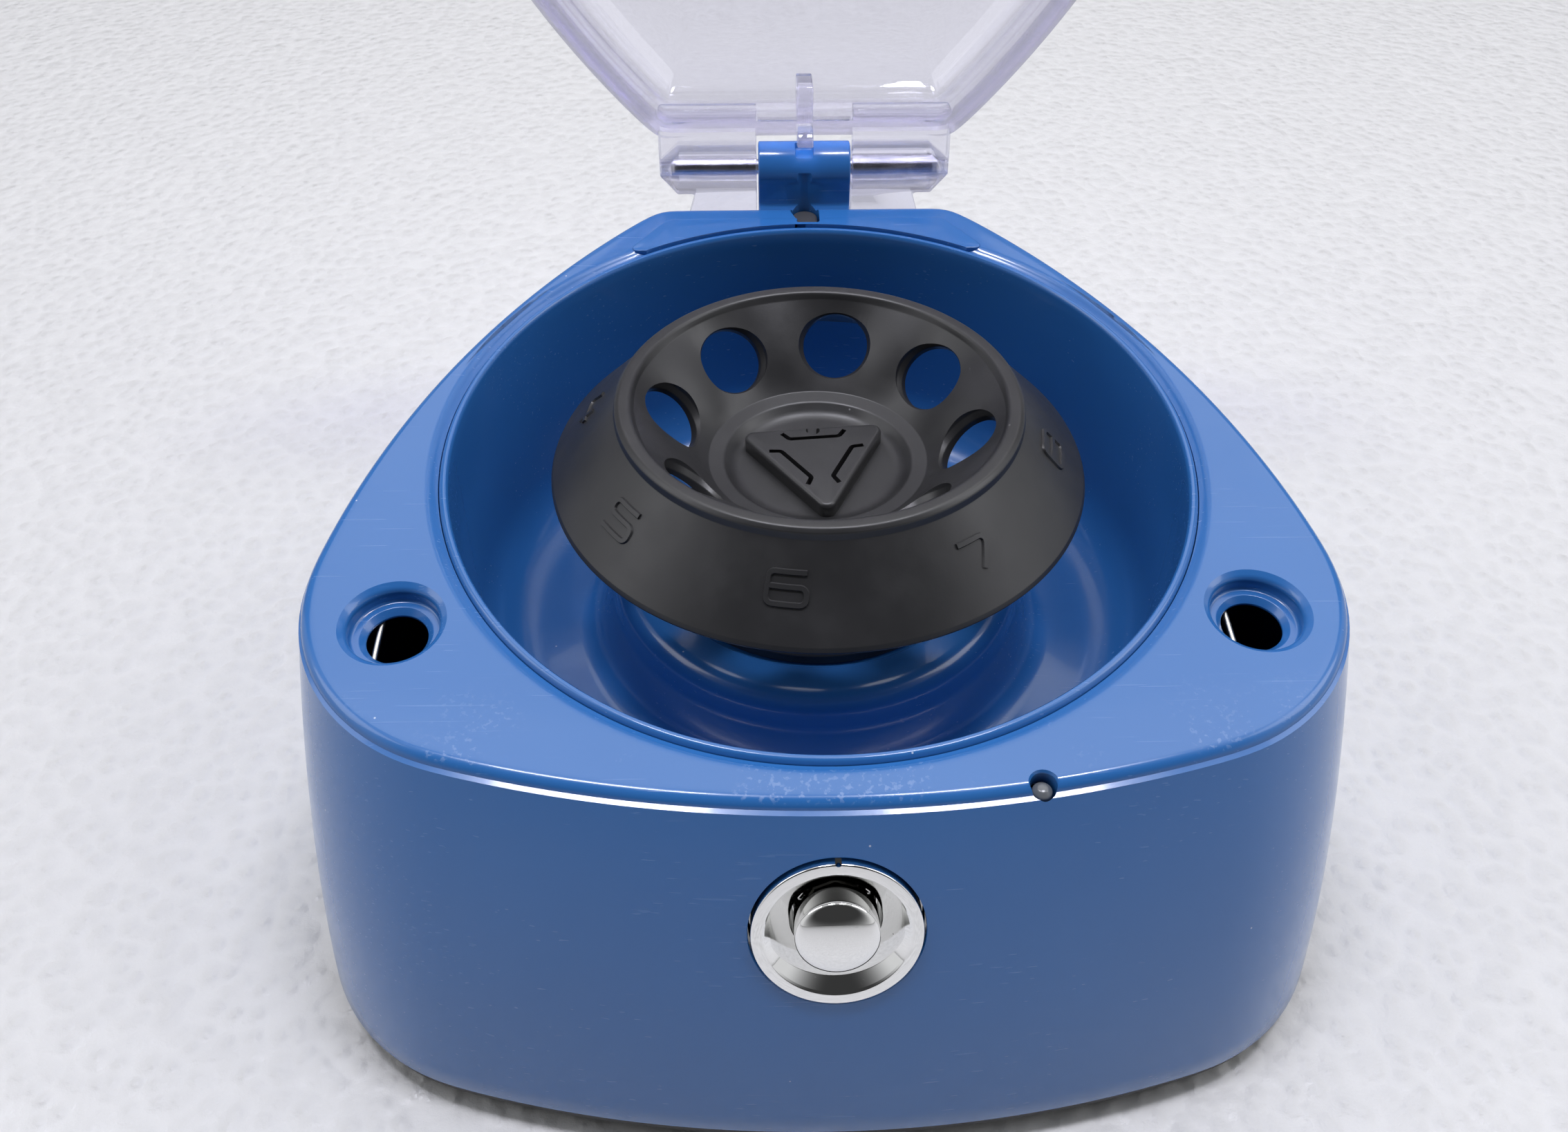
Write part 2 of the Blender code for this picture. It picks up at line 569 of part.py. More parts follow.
def rim_ring(outline, distance):
    """The lid's lower edge, lifted over the chamber's raised lip at the rear."""
    ring = []
    for p in inset(outline, distance):
        lifted = p.y > 56.0 and abs(p.x) < 22.0
        ring.append(lid_point(p, -HINGE_DROP + (1.6 if lifted else 0.35)))
    return ring


def lid_shell(axis):
    clear = material("lid_clear", (0.86, 0.88, 0.95), 0.06, 0.0, 0.3)
    outline = inset(OUTLINE, LID_MARGIN)
    outside = [(0.25, 7.4, 1.0), (1.2, 12.6, 0.99), (3.0, 16.6, 0.94), (3.0, 19.2, 0.78), (3.0, 20.6, 0.35)]
    inside = [(LID_WALL + 0.3, 18.2, 0.35), (LID_WALL + 0.3, 16.8, 0.76), (LID_WALL + 0.3, 14.4, 0.9),
              (LID_WALL + 0.3, 7.4, 1.0)]
    rings = [rim_ring(outline, 0.0)] + [lid_ring(outline, d, h, k) for d, h, k in outside]
    rings += [lid_ring(outline, d, h, k) for d, h, k in inside] + [rim_ring(outline, LID_WALL)]
    outer, inner = rings[:len(outside) + 1], rings[len(outside) + 1:]
    lid = lid_dome(outer, inner, clear, axis)
    for side in (-1, 1):
        boolean(lid, lid_arm(side, axis), "UNION")
        boolean(lid, lid_barrel(side, axis), "UNION")
        place = lid_point(Vector((side * WELL_X, WELL_Y)), 6.0)
        boolean(lid, cylinder(f"peg_boss_{side}", 5.2, 21.2, place, segments=12, parent=axis), "UNION")
        low = lid_point(Vector((side * WELL_X, WELL_Y)), -3.0)
        boolean(lid, cylinder(f"peg_socket_{side}", 2.3, 12.0, low, segments=10, parent=axis))
    boolean(lid, lid_fin(axis), "UNION")
    boolean(lid, cylinder("barrel_bore", PIN_R + GAP, 80, (0, 0, 0), segments=12, parent=axis,
                          turn=(0, math.pi / 2, 0)))
    return lid


def lid_dome(outer, inner, mat, axis):
    """One closed skin: up the outside, over the top, back down the inside and across the rim."""
    bm = bmesh.new()
    rows = [[bm.verts.new(p) for p in ring] for ring in outer + inner]
    count = len(rows[0])
    top = len(outer) - 1
    for k in list(range(top)) + list(range(top + 1, len(rows) - 1)) + [len(rows) - 1]:
        low, high = rows[k], rows[(k + 1) % len(rows)]
        for i in range(count):
            j = (i + 1) % count
            bm.faces.new((low[i], low[j], high[j], high[i]))
    for ring in (rows[top], rows[top + 1]):
        crown = bm.verts.new(sum((v.co for v in ring), Vector()) / count)
        for i in range(count):
            bm.faces.new((ring[i], ring[(i + 1) % count], crown))
    return put("lid_shell", mesh_of("lid_shell", bm), mat, axis)


def lid_arm(side, axis):
    """Arm and open-stop tail: reaches from the lid's rear wall over the barrel to the tail behind the housing."""
    near = KNUCKLE_HALF + GAP
    outline = [(near, -12.0), (BARREL_END, -12.0), (BARREL_END, 0.6), (24.4, 4.2), (20.9, 4.2), (23.0, 11.0),
               (near, 11.0)]
    outline = [(side * x, y) for x, y in (outline if side > 0 else outline[::-1])]
    return plate(f"lid_arm_{side}", outline, 4.2, parent=axis, centre=(0, 0, -1.1))


def lid_barrel(side, axis):
    start = KNUCKLE_HALF + GAP + 0.01
    profile = [(0, start), (4.7, start), (4.7, 24.2), (1.9, BARREL_END - 0.05), (0, BARREL_END - 0.05)]
    return turned(f"lid_barrel_{side}", profile, segments=16, parent=axis, turn=(0, side * math.pi / 2, 0))


def lid_fin(axis):
    """The interlock fin: a rib whose rounded lower corner turns about the hinge into the slot."""
    reach = 10.9
    low, high = math.radians(205), math.radians(232)
    rounded = [(p.x, p.y) for p in arc((0, 0), reach, low, high, 5)]
    outline = [(-5.4, 3.0), (-16.6, 5.0), (-16.6, -4.4)] + rounded + [(-5.4, -4.4)]
    return plate("lid_fin", outline, 3.0, parent=axis, turn=(math.pi / 2, 0, math.pi / 2))


def lid_pegs(axis):
    peg_white = material("peg_plastic", (0.75, 0.78, 0.85), 0.3)
    face = -HINGE_DROP
    profile = [(0, 2.4), (2.0, 2.4), (2.0, face + 0.1), (5.0, face + 0.0), (5.0, face - 2.0), (3.5, face - 2.4),
               (3.5, face - WIRE_DEPTH + 0.9), (2.2, face - WIRE_DEPTH + 0.7), (2.2, face - WIRE_DEPTH - 0.7),
               (3.5, face - WIRE_DEPTH - 0.95), (3.5, face - 7.6), (1.8, face - 9.8), (0, face - 9.8)]
    for name, side in (("lid_peg_left", -1), ("lid_peg_right", 1)):
        place = lid_point(Vector((side * WELL_X, WELL_Y)), 0.0)
        turned(name, profile, peg_white, segments=14, parent=axis, centre=place)


def hinge_pin():
    cylinder("hinge_pin", PIN_R, 50.0, (0, HINGE_Y, HINGE_Z), material("pin_steel", STEEL, 0.25, 1.0), segments=16,
             turn=(0, math.pi / 2, 0))


# ---------------------------------------------------------------- button, latch and interlock

def button_centre():
    """The point of the front wall on its middle line at the button's height."""
    height = top_z(FRONT_Y) - HOUSING_BOTTOM
    level = (top_z(FRONT_Y) - BUTTON_Z) / height
    plan = flare(Vector((0, FRONT_Y)), level)
    return Vector((0, plan.y, BUTTON_Z))


def coil(radius, start, end, turns, steps):
    points = []
    for i in range(turns * steps + 1):
        a = 2 * math.pi * i / steps
        points.append((radius * math.cos(a), radius * math.sin(a), start + (end - start) * i / (turns * steps)))
    return points


def button(axis):
    chrome = material("bezel_chrome", (0.8, 0.8, 0.8), 0.06, 1.0)
    bezel = [(11.65, 0.55), (11.65, -4.1), (13.2, -4.1), (13.2, -5.2), (8.2, -5.2), (8.2, -10.0), (3.3, -10.0),
             (3.3, -9.0), (6.3, -9.0), (6.3, -3.0), (8.6, -1.1), (10.4, 0.45), (11.0, 0.6)]
    turned("button_bezel", bezel, chrome, segments=26, parent=axis)
    cap = [(0, 2.2), (2.4, 1.85), (4.2, 0.95), (5.2, 0.0), (5.8, -1.3), (5.8, -4.0), (0, -4.0)]
    turned("button_cap", cap, material("cap_chrome", (0.85, 0.85, 0.85), 0.05, 1.0), segments=20, parent=axis)
    black = material("stem_black", BLACK, 0.5)
    stem = cylinder("button_stem", 2.6, 6.3, (0, 0, -7.45), black, segments=16, parent=axis)
    wedge = [(-2.6, -10.2), (2.6, -10.2), (2.6, -12.8), (-0.3, -12.8), (-2.6, -10.5)]
    boolean(stem, plate("stem_wedge", wedge, 4.2, parent=axis, turn=(math.pi / 2, 0, 0)), "UNION")
    wire("button_spring", coil(4.3, -8.5, -4.8, 3, 8), 0.35, material("spring_steel", STEEL, 0.3, 1.0), parent=axis)


def latch(axis):
    black = material("slider_black", (0.03, 0.03, 0.032), 0.5)
    cam = [(-3.1, -10.4), (-0.1, -13.4), (-12.0, -13.4), (-12.0, -10.4)]
    slider = plate("latch_slider", cam, 7.0, black, parent=axis, turn=(math.pi / 2, 0, 0))
    boolean(slider, box("slider_arm", (2.9, 2.0, 18.4), (-10.3, -63.4, 46.3)), "UNION")
    crossing = face_place(-10.3, -63.85, WIRE_DEPTH)
    boolean(slider, cylinder("slider_bore", 0.85, 12, crossing, segments=12, turn=(0, math.pi / 2, 0)))
    wire("latch_wire", wire_route(), WIRE_R, material("latch_steel", STEEL, 0.25, 1.0))
    spring = wire("latch_spring", coil(1.9, 0.0, 9.0, 4, 8), 0.3, material("latch_spring_steel", STEEL, 0.3, 1.0))
    spring.location = Vector((-22.0, -63.9, 38.6)) * MM
    spring.rotation_euler = (0, math.pi / 2, 0)
    box("latch_guide", (2.4, 4.6, 9.0), (-23.8, -64.0, 38.6), material("guide_black", BLACK, 0.5), bevel=0.4)


def wire_route():
    """A U of spring wire under the top face: a leg across each well, joined along the inside of the front."""
    left, right = -WELL_X + WIRE_OFFSET, WELL_X + WIRE_OFFSET
    bend = ((0.0, -27.5), (0.0, -42.0), (1.8, -48.0), (7.0, -52.8), (15.0, -56.4))
    plan = [(left + x, y) for x, y in bend] + [(-36.0, -60.6), (-21.0, -63.7), (-10.3, -63.85), (0.0, -63.8)]
    plan += [(17.0, -62.4), (31.0, -59.9)] + [(right - x, y) for x, y in reversed(bend)]
    return smooth_path([face_place(x, y, WIRE_DEPTH) for x, y in plan], 2)


def interlock():
    dark = material("plunger_dark", (0.05, 0.05, 0.055), 0.45)
    half = SLOT_HALF - GAP
    straight = SLOT_REAR - SLOT_HALF
    rounded = arc((0, straight), half, 0, math.pi, 6)
    outline = [Vector((-half, SLOT_FRONT + GAP)), Vector((half, SLOT_FRONT + GAP))] + rounded
    top, bottom = 70.2, 65.8
    plunger = plate("interlock_plunger", outline, top - bottom, dark, centre=(0, 0, (top + bottom) / 2))
    boolean(plunger, box("plunger_leg", (2.8, 2.2, 30.0), (0, 62.4, 51.6)), "UNION")
    switch_black = material("microswitch_black", (0.02, 0.02, 0.022), 0.5)
    micro = box("interlock_switch", (12.8, 5.8, 10.0), (0, 61.6, 26.0), switch_black, bevel=0.4)
    boolean(micro, box("switch_button", (3.0, 2.4, 3.0), (0, 62.4, 30.7)), "UNION")


def status_led():
    axis = face_place(LED_X, LED_Y, 4.0)
    cylinder("status_led", 1.45, 5.2, axis, material("led_grey", (0.2, 0.21, 0.22), 0.2), segments=16,
             turn=(TILT, 0, 0))


# ---------------------------------------------------------------- electrics

def electrics():
    green = material("board_green", (0.02, 0.16, 0.07), 0.45)
    board = box("circuit_board", BOARD_SIZE, (BOARD_CENTRE.x, BOARD_CENTRE.y, BOARD_Z + BOARD_SIZE.z / 2), green)
    steel = material("board_screw_steel", STEEL, 0.35, 1.0)
    above = BOARD_Z + BOARD_SIZE.z
    screw = [(0, above + 1.8), (1.9, above + 1.6), (2.0, above + GAP), (0.8, above + GAP), (0.8, above - 4.2),
             (0, above - 4.4)]
    for i, (x, y) in enumerate(board_posts()):
        boolean(board, cylinder(f"board_hole_{i}", 1.1, 6, (x, y, BOARD_Z), segments=10))
        turned(f"board_screw_{i + 1}", screw, steel, segments=8, centre=(x, y, 0))
    cylinder("board_capacitor", 4.0, 9.0, (BOARD_CENTRE.x + 8, BOARD_CENTRE.y - 6, above + GAP + 4.5),
             material("capacitor_blue", (0.02, 0.04, 0.12), 0.35), segments=18)
    box("board_connector", (7.0, 5.0, 6.0), (BOARD_CENTRE.x - 4, BOARD_CENTRE.y + 8, above + GAP + 3),
        material("connector_white", (0.75, 0.74, 0.7), 0.5), bevel=0.4)
    leads = (("motor_lead_red", (0.5, 0.02, 0.02), 0.0), ("motor_lead_black", BLACK, 2.4))
    start = Vector((BOARD_CENTRE.x - 5, BOARD_CENTRE.y + 11.6, above + 3))
    for name, colour, offset in leads:
        route = [start + Vector((offset, 0, 0)), start + Vector((3 + 0.9 * offset, 5 - 0.5 * offset, 1)),
                 (-26 + 0.4 * offset, 8 - offset, 9), (-19, 5 - offset, 5.9), (-12, 2 - offset, 5.9)]
        wire(name, smooth_path(route, 4), 0.7, material(name, colour, 0.5))


def rear_wall_y(z):
    level = (top_z(REAR_Y) - z) / (top_z(REAR_Y) - HOUSING_BOTTOM)
    return flare(Vector((0, REAR_Y)), level).y


def power_jack():
    profile = [(0, 8.4), (0.9, 8.2), (1.0, 0.9), (2.9, 0.9), (2.9, 11.2), (5.9, 11.2), (6.2, 10.8), (6.2, 10.2),
               (4.3, 10.2), (4.3, -1.0), (0, -1.0)]
    behind = rear_wall_y(JACK_Z) - 9.6
    turned("power_jack", profile, material("jack_black", BLACK, 0.45), segments=16, centre=(JACK_X, behind, JACK_Z),
           turn=(-math.pi / 2, 0, 0))


def power_switch():
    """A rocker switch: its rocker lies against one of two stops, 8 degrees either side of middle."""
    face = rear_wall_y(SWITCH_Z)
    frame = box("switch_frame", (11.0, 10.0, 17.0), (SWITCH_X, face - 4.2, SWITCH_Z),
                material("switch_black", BLACK, 0.45))
    boolean(frame, box("switch_bezel", (14.0, 1.4, 20.0), (SWITCH_X, face + 1.2, SWITCH_Z)), "UNION")
    boolean(frame, box("switch_recess", (9.0, 12.0, 15.2), (SWITCH_X, face + 1.6, SWITCH_Z)))
    pivot = empty("rocker_axis", (SWITCH_X, face - 0.4, SWITCH_Z), (math.radians(-8.0), 0, 0))
    profile = [(3.5, -6.8), (2.4, 0.0), (3.5, 6.8), (0.6, 6.8), (-2.6, 2.4), (-2.6, -2.4), (0.6, -6.8)]
    plate("switch_rocker", profile, 8.2, material("rocker_black", (0.03, 0.03, 0.03), 0.35), parent=pivot,
          turn=(math.pi / 2, 0, math.pi / 2))


# ---------------------------------------------------------------- assembly

def main():
    lid_axis = empty("lid_axis", (0, HINGE_Y, HINGE_Z), (TILT - OPEN_ANGLE, 0, 0))
    button_axis = empty("button_axis", button_centre(), (math.pi / 2 - BUTTON_LEAN, 0, 0))
    bpy.context.view_layer.update()
    upper_housing()
    rotor_bowl()
    base_plate()
    feet_and_screws()
    motor()
    motor_mounting()
    motor_cover()
    drive_hub()
    rotor()
    lid_shell(lid_axis)
    lid_pegs(lid_axis)
    hinge_pin()
    button(button_axis)
    latch(button_axis)
    interlock()
    status_led()
    electrics()
    power_jack()
    power_switch()


main()
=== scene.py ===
"""Looks of a mini centrifuge: glossy blue housing and chamber, grained black rotor, clear open lid, chrome button.

Constants and helper arguments are millimetres in the row frame, and every mesh is written in metres.
"""

import math

import bmesh
import bpy
from mathutils import Matrix, Vector


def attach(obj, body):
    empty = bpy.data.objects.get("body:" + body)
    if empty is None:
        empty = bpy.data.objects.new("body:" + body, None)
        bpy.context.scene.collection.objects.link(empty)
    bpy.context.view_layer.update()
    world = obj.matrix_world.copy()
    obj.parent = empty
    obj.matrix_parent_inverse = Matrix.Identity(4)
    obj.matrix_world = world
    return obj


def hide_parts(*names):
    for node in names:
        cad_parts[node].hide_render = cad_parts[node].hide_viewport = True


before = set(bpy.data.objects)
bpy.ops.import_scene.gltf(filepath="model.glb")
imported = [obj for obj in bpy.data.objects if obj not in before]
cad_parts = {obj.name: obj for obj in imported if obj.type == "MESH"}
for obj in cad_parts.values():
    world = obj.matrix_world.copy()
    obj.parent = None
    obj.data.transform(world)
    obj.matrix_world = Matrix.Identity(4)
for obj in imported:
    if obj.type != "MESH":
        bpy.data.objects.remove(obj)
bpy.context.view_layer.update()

MM = 0.001
SHARP_ANGLE = 32.0   # edges above this angle stay sharp, in degrees

# Rotor and chamber
SKIRT_Z = 62.0
SKIRT_R = 42.9
TUBES = 8
TUBE_HOLE_R = 5.5
TUBE_RING_R, TUBE_RING_Z = 23.4, SKIRT_Z + 6.9
FIRST_TUBE_ANGLE = math.radians(80.75)
FIRST_TUBE_NUMBER = 2
CONE_START, CONE_END, FLUTE_DEPTH = 18.6, 29.6, 0.95
BOSS_ANGLE = math.radians(-85.0)
HILL_Z, FLOOR_Z = 42.3, 28.0
MOUTH_R = 60.3

# Housing
TOP_Z, TOP_SLOPE = 65.5, 0.0907
TILT = math.atan(TOP_SLOPE)
FRONT_Y, REAR_Y, REAR_HALF = -66.8, 66.5, 27.8
FRONT_ARC, SIDE_ARC, CORNER_ARC = 188.0, 162.0, 32.0
SIDE_CENTRE = Vector((-83.7, -50.6))
FRONT_FLARE, REAR_FLARE, SIDE_FLARE = 17.2, 2.0, 0.061
WALL, EDGE_R = 2.5, 1.6
BASE_T, HOUSING_BOTTOM, BASE_RIM_Z, FOOT_H = 2.4, 2.7, 5.0, 2.5
WELL_X, WELL_Y = 62.2, -35.5
WIRE_DEPTH, WIRE_OFFSET, WIRE_R = 5.0, -3.0, 0.5
LED_X, LED_Y = 26.9, -64.0
SLOT_HALF, SLOT_FRONT, SLOT_REAR = 2.75, 60.9, 67.6
BUTTON_Z, BUTTON_LEAN = 41.2, math.radians(18.6)
CAP_R, DOME_R = 5.8, 16.0
SCREW_POSTS = ((70.0, -22.0), (-70.0, -22.0), (31.0, 58.5), (-31.0, 58.5))
FEET = ((60.0, -50.0), (-60.0, -50.0), (21.0, 52.0), (-21.0, 52.0))
BOARD_POSTS, POST_TOP = ((-58.0, -29.0), (-30.0, -11.0)), 7.7
JACK_X, JACK_Z = -14.0, 18.0
SWITCH_X, SWITCH_Z = 13.0, 20.0

# Lid and hinge
HINGE = Vector((0.0, 72.0, 77.0))
OPEN_ANGLE = math.radians(102.0)
KNUCKLE_HALF, BARREL_END = 8.8, 27.6
HINGE_DROP, LID_WALL, LID_MARGIN, PIN_R = 4.95, 2.7, 1.6, 1.5
LID_MIDDLE = Vector((0, -4.0))

# Turns: a quarter about one axis, and an outline stood up in the plane of Y and Z
QUARTER_X, QUARTER_Y = Matrix.Rotation(math.pi / 2, 4, "X"), Matrix.Rotation(math.pi / 2, 4, "Y")
UPRIGHT = Matrix.Rotation(math.pi / 2, 4, "Z") @ QUARTER_X
HINGE_AXIS = Matrix.Translation(HINGE) @ QUARTER_Y
LID_PLACE = Matrix.Translation(HINGE) @ Matrix.Rotation(TILT - OPEN_ANGLE, 4, "X")


# ---------------------------------------------------------------- meshes

def skin(rows, closed):
    """Skins rows of points into a mesh. A row of one point is a pole; closed joins the last row to the first."""
    bm = bmesh.new()
    made = [[bm.verts.new(p) for p in row] for row in rows]
    pairs = list(zip(made, made[1:]))
    if closed:
        pairs.append((made[-1], made[0]))
    for low, high in pairs:
        count = max(len(low), len(high))
        for i in range(count):
            j = (i + 1) % count
            if len(low) == 1:
                bm.faces.new((low[0], high[j], high[i]))
            elif len(high) == 1:
                bm.faces.new((low[i], low[j], high[0]))
            else:
                bm.faces.new((low[i], low[j], high[j], high[i]))
    return bm


def capped(rows):
    """Skins rows of points into a tube with flat ends."""
    bm = skin(rows, closed=False)
    bm.verts.ensure_lookup_table()
    count = len(rows[0])
    bm.faces.new(bm.verts[:count])
    bm.faces.new(bm.verts[-count:])
    return bm


def rounded(corners, steps=5):
    """A 2D path or outline whose corners are arcs. Each corner is (a, b) or (a, b, fillet radius)."""
    points = []
    for i, corner in enumerate(corners):
        here = Vector(corner[:2])
        size = corner[2] if len(corner) > 2 else 0.0
        before = Vector(corners[i - 1][:2])
        after = Vector(corners[(i + 1) % len(corners)][:2])
        ahead, onward = here - before, after - here
        turn = math.atan2(ahead.x * onward.y - ahead.y * onward.x, ahead.dot(onward))
        if size == 0.0 or abs(turn) < 0.01:
            points.append(here)
            continue
        slope = math.tan(abs(turn) / 2)
        reach = min(size * slope, 0.49 * ahead.length, 0.49 * onward.length)
        side = math.copysign(reach / slope, turn)
        ahead.normalize()
        across = Vector((-ahead.y, ahead.x)) * side
        centre = here - ahead * reach + across
        for k in range(steps + 1):
            a = turn * k / steps
            spoke = Vector((-across.x * math.cos(a) + across.y * math.sin(a),
                            -across.x * math.sin(a) - across.y * math.cos(a)))
            points.append(centre + spoke)
    return points


def revolve(profile, segments=64, place=Matrix.Identity(4), ripple=None):
    """Turns an (r, z) profile about Z. Ends on the axis close it; any other profile is a ring."""
    on_axis = profile[0][0] == 0 and profile[-1][0] == 0
    rows = []
    for r, z in profile:
        if r == 0:
            rows.append([place @ Vector((0, 0, z))])
            continue
        row = []
        for k in range(segments):
            a = math.tau * k / segments
            reach = r + (ripple(r, z, a) if ripple else 0.0)
            row.append(place @ Vector((reach * math.cos(a), reach * math.sin(a), z)))
        rows.append(row)
    return skin(rows, closed=not on_axis)


def cylinder(radius, start, end, segments, place=Matrix.Identity(4)):
    return revolve([(0, start), (radius, start), (radius, end), (0, end)], segments, place)


def slab(outline, bottom, top, place=Matrix.Identity(4), edge=0.0, steps=3):
    """An outline raised from bottom to top along Z, with its edges rounded by insetting."""
    rows = []
    for k in range(steps + 1):
        a = math.pi / 2 * k / steps
        rows.append((edge * (1 - math.sin(a)), bottom + edge * (1 - math.cos(a))))
    rows += [(d, bottom + top - z) for d, z in reversed(rows)]
    if edge == 0.0:
        rows = [(0.0, bottom), (0.0, top)]
    return capped([[place @ Vector((p.x, p.y, z)) for p in inset(outline, d)] for d, z in rows])


def brick(size, centre, edge=0.3):
    """A box with rounded edges."""
    x, y, z = size
    corners = [(x / 2, -y / 2, edge), (x / 2, y / 2, edge), (-x / 2, y / 2, edge), (-x / 2, -y / 2, edge)]
    outline = rounded(corners, 3) if edge else [Vector(c[:2]) for c in corners]
    return slab(outline, -z / 2, z / 2, Matrix.Translation(centre), edge * 0.9)


def tube(points, radius, sides=12):
    """A round wire along a smooth list of points, with flat ends."""
    rows = []
    side = Vector((0, 0, 1))
    for i, point in enumerate(points):
        along = (points[min(i + 1, len(points) - 1)] - points[max(i - 1, 0)]).normalized()
        side = (side - along * side.dot(along)).normalized()
        up = along.cross(side)
        rows.append([point + (side * math.cos(a) + up * math.sin(a)) * radius
                     for a in (math.tau * k / sides for k in range(sides))])
    return skin([[points[0]]] + rows + [[points[-1]]], closed=False)


def inset(points, distance):
    """Moves each point of an anticlockwise outline inwards, square to its neighbours."""
    if distance == 0:
        return list(points)
    moved = []
    for i, point in enumerate(points):
        before, after = points[i - 1], points[(i + 1) % len(points)]
        edge_in, edge_out = (point - before).normalized(), (after - point).normalized()
        normal = Vector((-edge_in.y - edge_out.y, edge_in.x + edge_out.x)).normalized()
        moved.append(point + normal * distance / normal.dot(Vector((-edge_in.y, edge_in.x))))
    return moved


def arc(centre, radius, start, end, steps):
    angles = [start + (end - start) * i / steps for i in range(steps + 1)]
    return [Vector((centre[0] + radius * math.cos(a), centre[1] + radius * math.sin(a))) for a in angles]


def softened(points, passes):
    """Rounds an outline's corners by averaging each point with its neighbours."""
    for _ in range(passes):
        count = len(points)
        points = [points[i] * 0.5 + (points[i - 1] + points[(i + 1) % count]) * 0.25 for i in range(count)]
    return points


def along_path(points, steps):
    """Catmull-Rom points through a route."""
    ends = [points[0]] + list(points) + [points[-1]]
    path = []
    for a, b, c, d in zip(ends, ends[1:], ends[2:], ends[3:]):
        for k in range(steps):
            t = k / steps
            path.append(0.5 * (2 * b + (c - a) * t + (2 * a - 5 * b + 4 * c - d) * t * t
                               + (3 * b - a - 3 * c + d) * t * t * t))
    return path + [Vector(points[-1])]


def merge(bm, other):
    """Adds the vertices and faces of another bmesh after those of bm."""
    mesh = bpy.data.meshes.new("merged")
    other.to_mesh(mesh)
    other.free()
    bm.from_mesh(mesh)
    bpy.data.meshes.remove(mesh)


def solid(name, bm, mat=None):
    """Turns a bmesh in millimetres into an object in metres."""
    bmesh.ops.scale(bm, vec=(MM, MM, MM), verts=bm.verts)
    bmesh.ops.recalc_face_normals(bm, faces=bm.faces)
    mesh = bpy.data.meshes.new(name)
    bm.to_mesh(mesh)
    bm.free()
    obj = bpy.data.objects.new(name, mesh)
    bpy.context.scene.collection.objects.link(obj)
    if mat:
        mesh.materials.append(mat)
    return obj


def add(bm):
    return "UNION", bm


def cut(bm):
    return "DIFFERENCE", bm


def combine(obj, steps):
    """Applies steps made by add and cut, in order."""
    tools = []
    for i, (operation, bm) in enumerate(steps):
        tool = solid(f"{obj.name}_tool_{i}", bm)
        change = obj.modifiers.new(tool.name, "BOOLEAN")
        change.operation = operation
        change.solver = "EXACT"
        change.object = tool
        tools.append(tool)
    evaluated = obj.evaluated_get(bpy.context.evaluated_depsgraph_get())
    mesh = bpy.data.meshes.new_from_object(evaluated)
    obj.modifiers.clear()
    materials = list(obj.data.materials)
    obj.data = mesh
    mesh.materials.clear()
    for m in materials:
        mesh.materials.append(m)
    for tool in tools:
        bpy.data.objects.remove(tool)


def finished(obj, body, slot, *replaced, sharp=SHARP_ANGLE):
    """Shades a piece smooth, lets it ride on its body and stand for its CAD nodes."""
    obj.data.shade_smooth()
    obj.data.set_sharp_from_angle(angle=math.radians(sharp))
    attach(obj, body)
    if replaced:
        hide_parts(*replaced)


# ---------------------------------------------------------------- materials

